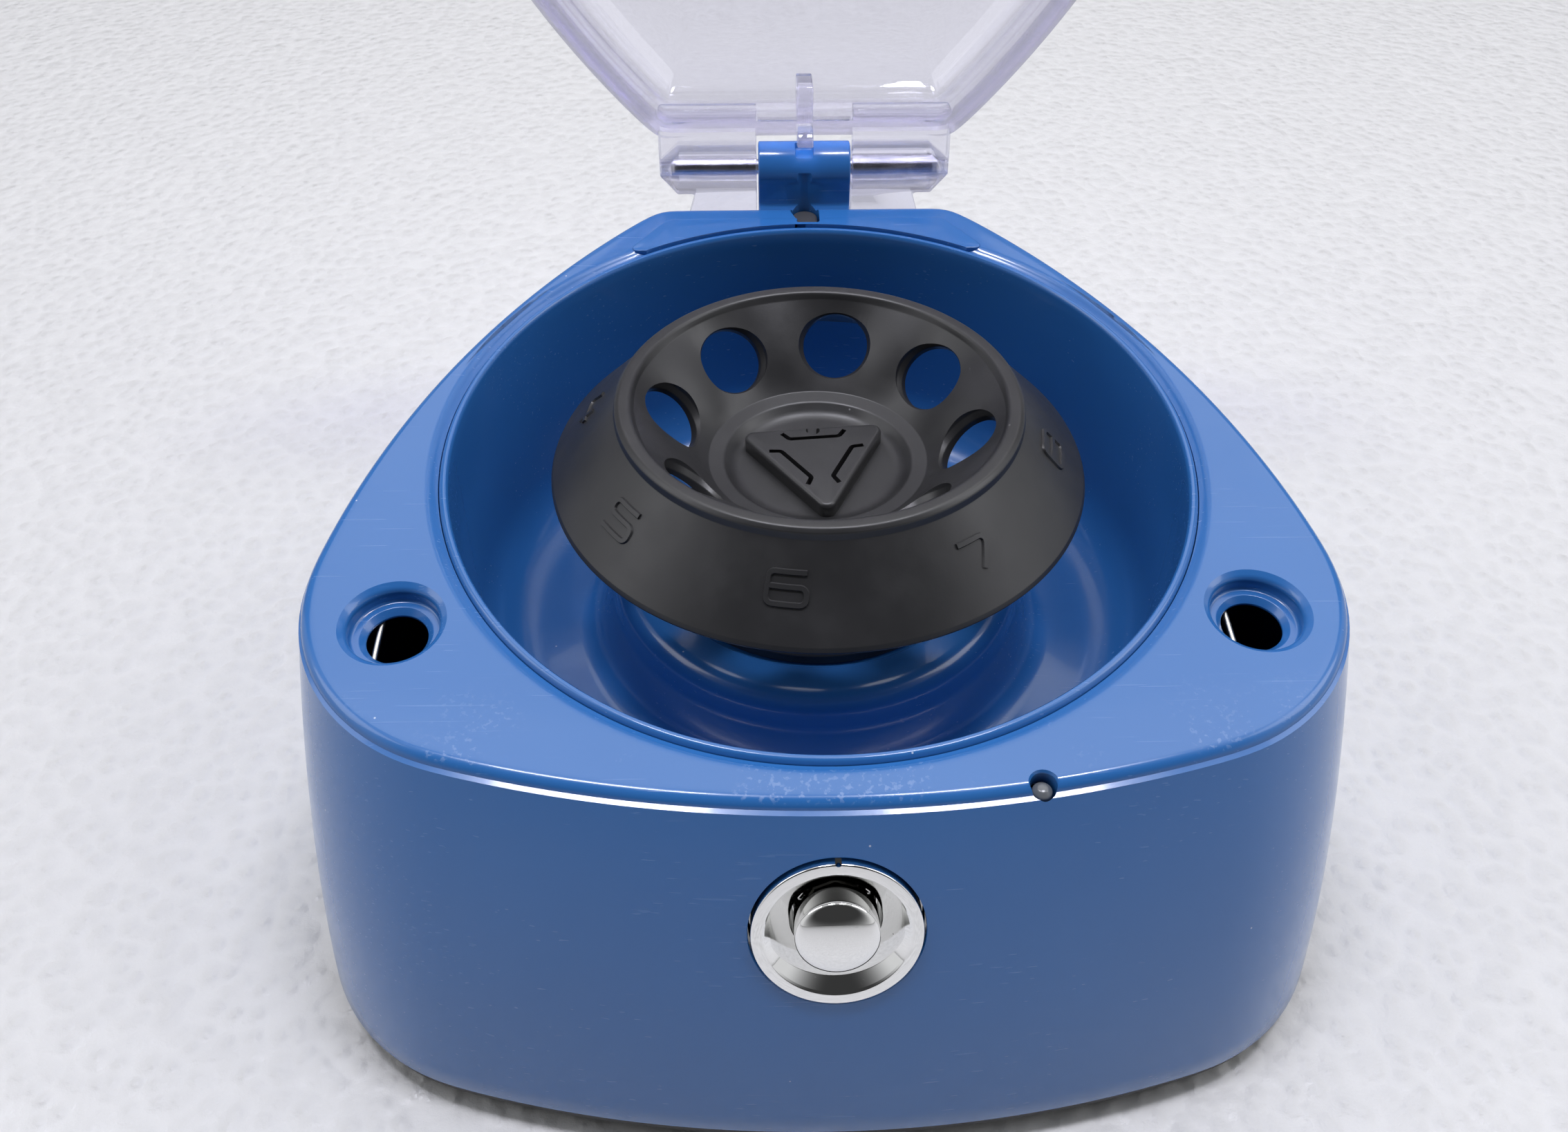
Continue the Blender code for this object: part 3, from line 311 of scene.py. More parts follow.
class Finish:
    """A Principled material and the few nodes that give it grain, wear and colour variation."""

    def __init__(self, name, colour, roughness, metallic=0.0, **inputs):
        self.mat = bpy.data.materials.new(name)
        self.mat.use_nodes = True
        self.tree = self.mat.node_tree
        self.bsdf = self.tree.nodes["Principled BSDF"]
        self.place = self.tree.nodes.new("ShaderNodeTexCoord").outputs["Object"]
        self.colour, self.rough, self.height = (*colour, 1.0), roughness, None
        self.bsdf.inputs["Metallic"].default_value = metallic
        for key, value in inputs.items():
            self.bsdf.inputs[key.replace("_", " ")].default_value = value

    def node(self, kind, settings=None, **inputs):
        made = self.tree.nodes.new("ShaderNode" + kind)
        for key, value in (settings or {}).items():
            setattr(made, key, value)
        for key, value in inputs.items():
            self.feed(made.inputs[key.replace("_", " ")], value)
        return made

    def feed(self, socket, value):
        if isinstance(value, bpy.types.NodeSocket):
            self.tree.links.new(value, socket)
        else:
            socket.default_value = value

    def maths(self, operation, a, b=0.0, c=0.0):
        made = self.tree.nodes.new("ShaderNodeMath")
        made.operation = operation
        for socket, value in zip(made.inputs, (a, b, c)):
            self.feed(socket, value)
        return made.outputs[0]

    def noise(self, size_mm, detail=3.0, stretch=(1, 1, 1), turn=0.0, seed=0.0):
        """Noise from 0 to 1 whose features are about size_mm across."""
        place = self.place
        if stretch != (1, 1, 1) or turn or seed:
            mapped = self.node("Mapping", Vector=place, Scale=stretch, Rotation=(turn, turn * 0.7, turn),
                               Location=(seed, seed, seed))
            place = mapped.outputs[0]
        made = self.node("TexNoise", Vector=place, Scale=1000.0 / size_mm, Detail=detail, Roughness=0.55)
        return made.outputs["Fac"]

    def ramp(self, value, low, high, out_low=0.0, out_high=1.0):
        made = self.node("MapRange", {"interpolation_type": "SMOOTHSTEP"})
        for key, amount in (("Value", value), ("From Min", low), ("From Max", high), ("To Min", out_low),
                            ("To Max", out_high)):
            self.feed(made.inputs[key], amount)
        return made.outputs[0]

    def blend_colour(self, factor, other):
        made = self.node("Mix", {"data_type": "RGBA"})
        self.feed(made.inputs[0], factor)
        self.feed(made.inputs[6], self.colour)
        self.feed(made.inputs[7], (*other, 1.0))
        self.colour = made.outputs[2]

    def blend_rough(self, factor, other):
        made = self.node("Mix", {"data_type": "FLOAT"})
        self.feed(made.inputs[0], factor)
        self.feed(made.inputs[2], self.rough)
        self.feed(made.inputs[3], other)
        self.rough = made.outputs[0]

    def raise_by(self, value, millimetres):
        lifted = self.maths("MULTIPLY", value, millimetres * MM)
        self.height = lifted if self.height is None else self.maths("ADD", self.height, lifted)

    def scratches(self, amount=0.5, size=0.5):
        """Fine hairlines in three directions, each broken up by a coarser noise."""
        total = None
        for k in range(3):
            line = self.noise(size, 1.0, stretch=(0.03, 1.0, 1.0), turn=0.7 + 1.1 * k, seed=3.0 * k)
            here = self.noise(26.0, 1.0, seed=7.0 + k)
            mark = self.maths("MULTIPLY", self.ramp(line, 0.70, 0.76), self.ramp(here, 0.50, 0.62))
            total = mark if total is None else self.maths("MAXIMUM", total, mark)
        return self.maths("MULTIPLY", total, amount)

    def specks(self, spacing_mm, size=0.09, share=0.5):
        """Round dust specks, present in only a share of the cells."""
        cells = self.node("TexVoronoi", Vector=self.place, Scale=1000.0 / spacing_mm)
        near = self.ramp(cells.outputs["Distance"], size, size * 0.5)
        tint = self.node("SeparateColor", Color=cells.outputs["Color"])
        return self.maths("MULTIPLY", near, self.maths("GREATER_THAN", tint.outputs[0], 1.0 - share))

    def done(self):
        self.feed(self.bsdf.inputs["Base Color"], self.colour)
        self.feed(self.bsdf.inputs["Roughness"], self.rough)
        if self.height is not None:
            made = self.node("Bump", Strength=1.0, Distance=1.0, Height=self.height)
            self.feed(self.bsdf.inputs["Normal"], made.outputs[0])
        return self.mat


BLUE = (0.024, 0.128, 0.375)


def glossy_blue(name, scuffed):
    f = Finish(name, BLUE, 0.17, Coat_Weight=0.35, Coat_Roughness=0.06)
    f.blend_colour(f.ramp(f.noise(38.0, 2.0), 0.35, 0.75, 0.0, 0.5), (0.028, 0.142, 0.405))
    f.blend_rough(f.ramp(f.noise(9.0, 4.0), 0.3, 0.8), 0.27)
    lines = f.scratches(0.45)
    f.blend_colour(f.maths("MULTIPLY", lines, 0.3), (0.25, 0.38, 0.62))
    f.blend_rough(lines, 0.5)
    dust = f.specks(5.5, 0.035, 0.25)
    f.blend_colour(f.maths("MULTIPLY", dust, 0.7), (0.62, 0.68, 0.78))
    if scuffed:
        split = f.node("SeparateXYZ", Vector=f.place)
        x, y, z = split.outputs[:3]
        below = f.maths("SUBTRACT", f.maths("MULTIPLY_ADD", y, TOP_SLOPE, TOP_Z * MM), z)
        rim = f.maths("MULTIPLY", f.ramp(below, 0.0008, -0.0004), f.ramp(y, -0.045, -0.058))
        worn = f.maths("MULTIPLY", rim, f.ramp(f.noise(0.8, 6.0, seed=2.0), 0.54, 0.66))
        patch = f.maths("MULTIPLY", worn, f.ramp(f.noise(19.0, 2.0, seed=5.0), 0.45, 0.60))
        f.blend_colour(f.maths("MULTIPLY", patch, 0.25), (0.5, 0.6, 0.78))
        f.blend_rough(patch, 0.6)
    f.raise_by(f.noise(1.4, 2.0), 0.002)
    f.raise_by(lines, -0.003)
    return f.done()


def grained_black(name, colour=(0.019, 0.019, 0.020), roughness=0.43, grain=0.010, size=0.42):
    f = Finish(name, colour, roughness, Specular_IOR_Level=0.55)
    f.blend_colour(f.ramp(f.noise(14.0, 3.0), 0.35, 0.75, 0.0, 0.6), tuple(c * 1.5 for c in colour))
    f.blend_rough(f.ramp(f.noise(6.0, 4.0), 0.35, 0.75), min(1.0, roughness + 0.10))
    f.blend_colour(f.maths("MULTIPLY", f.specks(6.0, 0.035, 0.3), 0.5), (0.30, 0.30, 0.31))
    f.raise_by(f.noise(size, 4.0), grain)
    return f.done()


def metal(name, colour, roughness, brushed=0.0):
    f = Finish(name, colour, roughness, metallic=1.0)
    f.blend_rough(f.ramp(f.noise(3.0, 4.0), 0.4, 0.8), roughness * 1.6 + 0.02)
    f.blend_colour(f.ramp(f.noise(7.0, 3.0, seed=4.0), 0.5, 0.8, 0.0, 0.25), tuple(c * 0.75 for c in colour))
    if brushed:
        f.raise_by(f.noise(0.25, 2.0, stretch=(1.0, 1.0, 0.05)), brushed)
    return f.done()


def chrome(name):
    f = Finish(name, (0.88, 0.88, 0.87), 0.035, metallic=1.0)
    lines = f.scratches(0.5, 0.35)
    f.blend_rough(lines, 0.30)
    pits = f.specks(2.6, 0.05, 0.12)
    f.blend_colour(f.maths("MULTIPLY", pits, 0.8), (0.08, 0.07, 0.06))
    f.raise_by(pits, -0.006)
    return f.done()


def clear_plastic(name):
    """Clear polycarbonate that lets lamps through and takes a lavender tint from its thickness."""
    f = Finish(name, (0.985, 0.985, 1.0), 0.02, Transmission_Weight=1.0, IOR=1.585)
    lines = f.scratches(0.6)
    f.blend_rough(lines, 0.25)
    f.blend_rough(f.ramp(f.noise(5.0, 3.0), 0.5, 0.8), 0.07)
    f.raise_by(f.noise(9.0, 2.0), 0.012)
    mat = f.done()
    through = f.node("BsdfTransparent", Color=(0.90, 0.90, 0.95, 1.0)).outputs[0]
    share = f.maths("MAXIMUM", f.node("LightPath").outputs["Is Shadow Ray"], 0.4)
    mixed = f.node("MixShader")
    for socket, value in zip(mixed.inputs, (share, f.bsdf.outputs[0], through)):
        f.feed(socket, value)
    output = next(n for n in f.tree.nodes if n.type == "OUTPUT_MATERIAL")
    f.feed(output.inputs["Surface"], mixed.outputs[0])
    tint = f.node("VolumeAbsorption", Color=(0.66, 0.62, 0.93, 1.0), Density=26.0)
    f.feed(output.inputs["Volume"], tint.outputs[0])
    return mat


def plain_plastic(name, colour, roughness=0.4, grain=0.004):
    f = Finish(name, colour, roughness)
    f.blend_colour(f.ramp(f.noise(8.0, 3.0), 0.4, 0.8, 0.0, 0.4), tuple(min(1.0, c * 1.3 + 0.004) for c in colour))
    f.blend_rough(f.ramp(f.noise(3.0, 3.0), 0.4, 0.8), roughness + 0.08)
    f.raise_by(f.noise(0.6, 3.0), grain)
    return f.done()


def windings(name):
    f = Finish(name, (0.48, 0.17, 0.05), 0.32, metallic=1.0)
    turns = f.node("TexWave", {"bands_direction": "Z"}, Vector=f.place, Scale=700.0, Distortion=0.6)
    f.blend_colour(turns.outputs["Fac"], (0.26, 0.08, 0.02))
    f.raise_by(turns.outputs["Fac"], 0.05)
    return f.done()


def circuit_green(name):
    f = Finish(name, (0.012, 0.10, 0.04), 0.35)
    tracks = f.node("TexBrick", Vector=f.place, Scale=260.0, Color1=(1, 1, 1, 1), Color2=(0.8, 0.8, 0.8, 1),
                    Mortar=(0, 0, 0, 1))
    f.blend_colour(f.ramp(tracks.outputs["Fac"], 0.0, 1.0, 0.0, 0.6), (0.03, 0.20, 0.09))
    f.raise_by(tracks.outputs["Fac"], 0.02)
    return f.done()


HOUSING_BLUE = glossy_blue("housing_blue", scuffed=True)
BOWL_BLUE = glossy_blue("bowl_blue", scuffed=False)
ROTOR_BLACK = grained_black("rotor_black", roughness=0.34, grain=0.007)
COVER_BLACK = grained_black("cover_black", roughness=0.5)
BASE_BLACK = grained_black("base_black", roughness=0.55, grain=0.02, size=0.9)
CLEAR = clear_plastic("lid_clear")
CHROME = chrome("button_chrome")
STEEL = metal("steel", (0.60, 0.60, 0.61), 0.24, brushed=0.004)
PIN_STEEL = metal("pin_steel", (0.72, 0.72, 0.73), 0.14)
WIRE_STEEL = metal("wire_steel", (0.72, 0.70, 0.64), 0.20)
RUBBER = grained_black("rubber", (0.020, 0.020, 0.020), 0.78, 0.018, 0.8)
DARK_PLASTIC = plain_plastic("dark_plastic", (0.022, 0.022, 0.024), 0.38)
PLUNGER_DARK = plain_plastic("plunger_dark", (0.045, 0.046, 0.050), 0.5, 0.012)
PEG_WHITE = plain_plastic("peg_plastic", (0.66, 0.68, 0.76), 0.28)
LENS_GREY = plain_plastic("led_lens", (0.13, 0.14, 0.15), 0.16, 0.002)


# ---------------------------------------------------------------- housing

def top_z(y):
    return TOP_Z + TOP_SLOPE * y


def face_place(x, y, depth=0.0):
    """A point at a depth under the top face, square to the face."""
    return Vector((x, y, top_z(y))) - Vector((0, -math.sin(TILT), math.cos(TILT))) * depth


def face_matrix(x, y):
    """Origin on the top face, Z square out of it."""
    return Matrix.Translation(face_place(x, y)) @ Matrix.Rotation(TILT, 4, "X")


def top_outline():
    """The top face's outline, anticlockwise from the middle of the front."""
    front = Vector((0, FRONT_Y + FRONT_ARC))
    reach_side, reach_front = SIDE_ARC - CORNER_ARC, FRONT_ARC - CORNER_ARC
    span = front - SIDE_CENTRE
    along = (reach_side ** 2 - reach_front ** 2 + span.length ** 2) / (2 * span.length)
    unit = span.normalized()
    corner = SIDE_CENTRE + unit * along + Vector((unit.y, -unit.x)) * math.sqrt(reach_side ** 2 - along ** 2)
    toward_front, toward_side = corner - front, corner - SIDE_CENTRE
    front_end = math.atan2(toward_front.y, toward_front.x)
    side_start = math.atan2(toward_side.y, toward_side.x)
    rear_end = math.asin((REAR_Y - 3.0 - SIDE_CENTRE.y) / SIDE_ARC)
    half = arc(front, FRONT_ARC, -math.pi / 2, front_end, 22)[:-1]
    half += arc(corner, CORNER_ARC, front_end, side_start, 26)[:-1]
    half += arc(SIDE_CENTRE, SIDE_ARC, side_start, rear_end, 40)
    last = half[-1]
    half += [last.lerp(Vector((REAR_HALF, REAR_Y)), t) for t in (0.35, 0.7)]
    half += [Vector((REAR_HALF * (1 - k / 18), REAR_Y)) for k in range(18)]
    return half + [Vector((0, REAR_Y))] + [Vector((-p.x, p.y)) for p in reversed(half[1:])]


SHARP_OUTLINE = top_outline()
OUTLINE = softened(SHARP_OUTLINE, 4)


def flare(point, level):
    """The wall's plan position at a level from 0, the top edge, to 1, the bottom edge."""
    grow = 1.523 * level - 0.523 * level ** 2
    back = (point.y - FRONT_Y) / (REAR_Y - FRONT_Y)
    shift = -FRONT_FLARE + 5.0 * back + (FRONT_FLARE + REAR_FLARE - 5.0) * back ** 2
    return Vector((point.x * (1 + SIDE_FLARE * grow), point.y + shift * grow))


def wall_ring(level, distance=0.0):
    plan = inset([flare(p, level) for p in OUTLINE], distance)
    heights = [top_z(p.y) * (1 - level) + HOUSING_BOTTOM * level for p in OUTLINE]
    return [Vector((p.x, p.y, z)) for p, z in zip(plan, heights)]


def top_ring(distance, drop):
    return [Vector((q.x, q.y, top_z(q.y) - drop)) for q in inset(OUTLINE, distance)]


def mouth_ring(radius, drop):
    ring = []
    for p in OUTLINE:
        q = p.normalized() * radius
        ring.append(Vector((q.x, q.y, top_z(q.y) - drop)))
    return ring


def housing_shell():
    steps = 7
    start = EDGE_R / (TOP_Z - HOUSING_BOTTOM)
    levels = [1.0 - (1.0 - start) * k / 14 for k in range(15)]
    bottom_edge = [wall_ring(1.0, 0.55), wall_ring(1.0 - 0.004, 0.16)]
    rows = bottom_edge + [wall_ring(level) for level in [1.0 - 0.011] + levels[1:]]
    for k in range(1, steps + 1):
        a = math.pi / 2 * k / steps
        rows.append(top_ring(EDGE_R * (1 - math.cos(a)), EDGE_R * (1 - math.sin(a))))
    rows.append(top_ring(EDGE_R + 0.8, 0.0))
    for distance, drop in ((2.2, 0.0), (1.65, 0.02), (1.25, 0.14), (0.85, 0.42), (0.4, 0.72), (0.0, 0.86), (0.0, WALL)):
        rows.append(mouth_ring(MOUTH_R + distance, drop))
    rows.append(top_ring(WALL + 0.3, WALL))
    rows += [wall_ring(level, WALL) for level in (0.18, 0.4, 0.7, 0.985)]
    return skin(rows, closed=True)


def well_cutter(x, y):
    profile = rounded([(0, 4.0), (9.5, 4.0), (8.3, 0.35, 1.0), (6.6, -0.75, 1.2), (6.6, -3.0, 0.5),
                       (5.3, -3.0, 0.25), (4.45, -3.9, 0.2), (4.45, -9.0), (0, -9.0)], 6)
    return revolve(profile, 72, face_matrix(x, y))


def button_centre():
    level = (top_z(FRONT_Y) - BUTTON_Z) / (top_z(FRONT_Y) - HOUSING_BOTTOM)
    return Vector((0, flare(Vector((0, FRONT_Y)), level).y, BUTTON_Z))


def button_matrix():
    """Origin on the front wall, Z out along the button's travel."""
    return Matrix.Translation(button_centre()) @ Matrix.Rotation(math.pi / 2 - BUTTON_LEAN, 4, "X")


def rear_panel():
    """A shallow raised panel around the interlock slot, widening towards the chamber."""
    corners = [(-33.4, 52.6, 1.0), (33.4, 52.6, 1.0), (26.2, 62.6, 2.2), (-26.2, 62.6, 2.2)]
    outline = rounded(corners, 6)
    return slab(outline, -1.0, 0.24, face_matrix(0, 0), 0.2, 3)


def knuckle_parts():
    """Neck and round end of the hinge knuckle; the middle groove clears the lid fin."""
    corners = [(65.0, 50.0), (69.5, 52.0, 2.0), (75.4, 64.0, 3.0), (76.4, 77.0, 1.0), (67.4, 77.0, 0.2),
               (67.4, 71.5, 1.2), (65.0, 69.2)]
    neck = slab(rounded(corners, 5), -KNUCKLE_HALF, KNUCKLE_HALF, UPRIGHT, 0.35, 3)
    half = KNUCKLE_HALF - 0.01
    barrel = revolve(rounded([(0, half), (4.8, half, 0.35), (4.8, -half, 0.35), (0, -half)], 3), 72, HINGE_AXIS)
    return neck, barrel


def slot_outline(margin):
    straight = SLOT_REAR - SLOT_HALF
    half = SLOT_HALF - margin
    corner = 0.5
    front = [(-half, SLOT_FRONT + margin, corner), (half, SLOT_FRONT + margin, corner)]
    square = rounded(front + [(half, straight)], 3)[:-1]
    return square + arc((0, straight), half, 0, math.pi, 14)


def upper_housing():
    obj = solid("housing_shell", housing_shell(), HOUSING_BLUE)
    neck, barrel = knuckle_parts()
    steps = [add(rear_panel()), cut(cylinder(MOUTH_R, 90.0, 55.0, 192)), add(neck), add(barrel)]
    for x in (-WELL_X, WELL_X):
        steps += [add(cylinder(8.2, -1.2, -4.2, 48, face_matrix(x, WELL_Y))), cut(well_cutter(x, WELL_Y))]
    steps.append(cut(slab(slot_outline(0.0), 61.2, 78.0)))
    led = rounded([(0, 3.0), (2.6, 3.0), (2.15, 0.1, 0.4), (1.8, -0.4, 0.3), (1.8, -8.0), (0, -8.0)], 4)
    steps.append(cut(revolve(led, 40, face_matrix(LED_X, LED_Y))))
    seat = rounded([(0, 6.0), (13.2, 6.0), (12.5, 0.2, 0.5), (12.0, -0.5, 0.4), (12.0, -7.0), (0, -7.0)], 4)
    steps.append(cut(revolve(seat, 96, button_matrix())))
    steps.append(cut(cylinder(PIN_R + 0.3, 20, -20, 24, HINGE_AXIS)))
    steps.append(cut(brick((3.6, 6.0, 4.0), (0, HINGE.y - 2.6, HINGE.z + 5.4), 0.6)))
    steps.append(cut(cylinder(4.6, 5, -5, 40, Matrix.Translation((JACK_X, REAR_Y, JACK_Z)) @ QUARTER_X)))
    steps.append(cut(brick((11.6, 12, 17.6), (SWITCH_X, REAR_Y, SWITCH_Z), 0.0)))
    combine(obj, steps)
    finished(obj, "housing", "housing_blue", "upper_housing")


def rotor_bowl():
    """The chamber: a lip that follows the tilted top face, a near-vertical wall, a trough and a raised centre."""
    rim = [(60.9, 4.5), (60.9, 2.9), (60.2, 2.8), (60.2, 1.0), (60.12, 0.75), (59.95, 0.42), (59.72, 0.18),
           (59.4, 0.08), (59.05, 0.16), (58.82, 0.42), (58.72, 0.9), (58.7, 3.0)]
    inside = rounded([(58.6, 56.0), (58.3, 45.0), (57.0, 34.0, 12.0), (51.5, FLOOR_Z, 9.0), (38.2, FLOOR_Z, 5.0),
                      (34.9, 36.0, 6.0), (34.3, HILL_Z, 3.6), (27.2, HILL_Z), (26.9, HILL_Z - 0.25),
                      (22.5, HILL_Z - 0.25)], 10)
    under = [(22.5, HILL_Z - 2), (30.4, HILL_Z - 2), (32.3, 38.6), (32.9, 33.0), (35.0, 28.2), (41.0, FLOOR_Z - 2),
             (47.2, FLOOR_Z - 2), (54.4, 27.9), (58.8, 34.0), (59.6, 45.0)]
    rows = []
    angles = [math.tau * k / 192 for k in range(192)]
    for r, drop in rim:
        rows.append([Vector((r * math.cos(a), r * math.sin(a), top_z(r * math.sin(a)) - drop)) for a in angles])
    for r, z in inside + [Vector(p) for p in under]:
        rows.append([Vector((r * math.cos(a), r * math.sin(a), z)) for a in angles])
    obj = solid("chamber_bowl", skin(rows, closed=True), BOWL_BLUE)
    combine(obj, [cut(brick((7.4, 3.0, 30), (0, 62.1, 68), 0.0))])
    finished(obj, "housing", "bowl_blue", "rotor_bowl")


def base_plate():
    low = [p.xy for p in wall_ring(1.0)]
    levels = [(2.0, 0.3), (1.25, 0.42), (0.75, 0.75), (0.6, 1.2), (0.6, BASE_T), (WALL + 0.6, BASE_T + 0.05),
              (WALL + 0.6, BASE_RIM_Z), (WALL + 2.2, BASE_RIM_Z), (WALL + 2.2, BASE_T + 0.05)]
    rings = [[Vector((p.x, p.y, z)) for p in inset(low, d)] for d, z in levels]
    obj = solid("underside_plate", capped(rings), BASE_BLACK)
    steps = [add(brick((80, 56, 1.2), (0, -6, 0.6), 0.25))]
    hole = [(0, -2.0), (3.4, -2.0), (3.4, 0.1), (1.75, 1.7), (1.75, 9.0), (0, 9.0)]
    for x, y in SCREW_POSTS:
        steps.append(cut(revolve(hole, 32, Matrix.Translation((x, y, 0)))))
    for x, y in FEET:
        steps.append(cut(cylinder(2.3, -2, 9, 24, Matrix.Translation((x, y, 0)))))
    for x, y in BOARD_POSTS:
        place = Matrix.Translation((x, y, 0))
        steps += [add(cylinder(2.4, 1.5, POST_TOP, 32, place)), cut(cylinder(1.1, 5.0, 30.0, 20, place))]
    combine(obj, steps)
    finished(obj, "housing", "base_black", "base_plate")


def feet_and_screws():
    foot = rounded([(0, -FOOT_H + 0.25), (4.6, -FOOT_H + 0.25, 0.3), (4.9, -FOOT_H, 0.2), (6.3, -FOOT_H, 0.5),
                    (6.9, -FOOT_H + 0.9, 0.6), (6.5, 0.0, 0.3), (2.0, 0.0, 0.1), (2.0, 2.7, 0.2), (2.9, 2.9, 0.2),
                    (2.4, 4.6, 0.4), (0, 5.0)], 4)
    for i, (x, y) in enumerate(FEET):
        obj = solid(f"rubber_foot_{i + 1}", revolve(foot, 48, Matrix.Translation((x, y, 0))), RUBBER)
        finished(obj, "housing", "foot_rubber", f"foot_{i + 1}")
    screw = rounded([(0, 0.4), (2.45, 0.4, 0.1), (2.5, 0.5, 0.05), (1.3, 1.6, 0.2), (1.3, 14.0), (0, 15.0)], 3)
    for i, (x, y) in enumerate(SCREW_POSTS):
        place = Matrix.Translation((x, y, 0))
        obj = solid(f"countersunk_screw_{i + 1}", revolve(screw, 40, place), STEEL)
        combine(obj, [cut(brick(size, (x, y, 0), 0.0)) for size in ((3.0, 0.7, 2.2), (0.7, 3.0, 2.2))])
        finished(obj, "housing", "screw_steel", f"base_screw_{i + 1}")


# ---------------------------------------------------------------- rotor

DIGITS = {
    1: [[(0.2, 0.75), (0.5, 1.0), (0.5, 0.0)]],
    2: [[(0.0, 1.0), (1.0, 1.0), (1.0, 0.52), (0.0, 0.48), (0.0, 0.0), (1.0, 0.0)]],
    3: [[(0.0, 1.0), (1.0, 1.0), (1.0, 0.0), (0.0, 0.0)], [(0.3, 0.5), (1.0, 0.5)]],
    4: [[(0.15, 1.0), (0.0, 0.3), (1.0, 0.3)], [(0.75, 0.7), (0.75, 0.0)]],
    5: [[(1.0, 1.0), (0.0, 1.0), (0.0, 0.54), (1.0, 0.54), (1.0, 0.0), (0.0, 0.0)]],
    6: [[(1.0, 1.0), (0.0, 1.0), (0.0, 0.0), (1.0, 0.0), (1.0, 0.54), (0.0, 0.54)]],
    7: [[(0.0, 1.0), (1.0, 1.0), (0.55, 0.0)]],
    8: [[(0.5, 1.0), (0.0, 1.0), (0.0, 0.0), (1.0, 0.0), (1.0, 1.0), (0.5, 1.0)], [(0.0, 0.52), (1.0, 0.52)]],
}
DIGIT_W, DIGIT_H, DIGIT_STROKE, DIGIT_RISE = 5.6, 4.6, 0.95, 0.32
DIGIT_R, DIGIT_Z = 36.9, SKIRT_Z + 6.79


def ribbon(path, place_of, width, rise):
    """A raised stroke along a 2D path: flat top, sloped flanks, laid on a surface by place_of(u, v, height)."""
    path = [Vector(p) for p in path]
    section = ((-0.5, -0.25), (-0.5, 0.0), (-0.34, 1.0), (0.34, 1.0), (0.5, 0.0), (0.5, -0.25))
    rows = []
    for i, point in enumerate(path):
        ahead = path[min(i + 1, len(path) - 1)] - point
        behind = point - path[max(i - 1, 0)]
        ahead = ahead.normalized() if ahead.length > 0 else behind.normalized()
        behind = behind.normalized() if behind.length > 0 else ahead
        normal = Vector((-(ahead.y + behind.y), ahead.x + behind.x)).normalized()
        stretch = 1.0 / max(0.5, normal.dot(Vector((-ahead.y, ahead.x))))
        rows.append([place_of(*(point + normal * (s * width * stretch)), h * rise) for s, h in section])
    return capped(rows)


def skirt_place(angle):
    """Maps a digit's right, up and height to the skirt's cone, whose upper side faces out."""
    slope = math.atan2(11.0, 10.45)

    def place(u, v, height):
        r = DIGIT_R - v * math.cos(slope) + height * math.sin(slope)
        z = DIGIT_Z + v * math.sin(slope) + height * math.cos(slope)
        a = angle + u / DIGIT_R
        return Vector((r * math.cos(a), r * math.sin(a), z))
    return place


def dense(path, spacing=0.6):
    """Adds points so that none are further apart than the spacing."""
    points = [path[0]]
    for a, b in zip(path, path[1:]):
        count = max(1, int((b - a).length / spacing))
        points += [a.lerp(b, k / count) for k in range(1, count + 1)]
    return points


def rotor_digits():
    merged = bmesh.new()
    for k in range(TUBES):
        number = (FIRST_TUBE_NUMBER - 1 + k) % TUBES + 1
        place = skirt_place(FIRST_TUBE_ANGLE + k * math.tau / TUBES)
        for stroke in DIGITS[number]:
            corners = [((x - 0.5) * DIGIT_W, (y - 0.5) * DIGIT_H, 0.9) for x, y in stroke]
            ends = [corners[0][:2]] + corners[1:-1] + [corners[-1][:2]]
            merge(merged, ribbon(dense(rounded(ends, 4)), place, DIGIT_STROKE, DIGIT_RISE))
    obj = solid("rotor_numbers", merged, ROTOR_BLACK)
    finished(obj, "rotor", "rotor_black", sharp=25.0)


def flute(r, z, a):
    """The inner cone is scalloped: hollow at each tube hole, proud between them."""
    rise = z - SKIRT_Z
    if not (CONE_START < r < CONE_END and rise > 0.6 and abs(rise - (r - 16.5)) < 1.6):
        return 0.0
    fade = math.sin(math.pi * min(1.0, (r - CONE_START) / 10.6)) ** 0.8
    return FLUTE_DEPTH * math.cos(TUBES * (a - FIRST_TUBE_ANGLE)) * fade


def boss_outline(corner, radius):
    outline = []
    for k in range(3):
        heading = BOSS_ANGLE + k * math.tau / 3
        tip = Vector((math.cos(heading), math.sin(heading))) * (corner - radius)
        outline += arc(tip, radius, heading - math.pi / 3, heading + math.pi / 3, 8)
    return outline


def boss_slots():
    """Each slot runs along a side of the boss and turns outwards at both ends."""
    half, near, far = 4.1, 4.35, 5.9
    slots = []
    for k in range(3):
        side = BOSS_ANGLE + math.pi / 3 + k * math.tau / 3
        out = Vector((math.cos(side), math.sin(side)))
        along = Vector((-out.y, out.x))
        corners = [out * far - along * (half + 1.1), (*(out * near - along * half), 0.8),
                   (*(out * near + along * half), 0.8), out * far + along * (half + 1.1)]
        slots.append(slot_cutter(rounded(corners, 4)))
    return slots


def slot_cutter(path):
    """A narrow deep cutter along a path on the boss."""
    rows = []
    half_width, top, bottom = 0.40, SKIRT_Z + 4.0, SKIRT_Z - 1.6
    for i, point in enumerate(path):
        along = (path[min(i + 1, len(path) - 1)] - path[max(i - 1, 0)]).normalized()
        side = Vector((-along.y, along.x)) * half_width
        a, b = point + side, point - side
        rows.append([Vector((*p, z)) for p, z in ((a, bottom), (b, bottom), (b, top), (a, top))])
    return capped(rows)


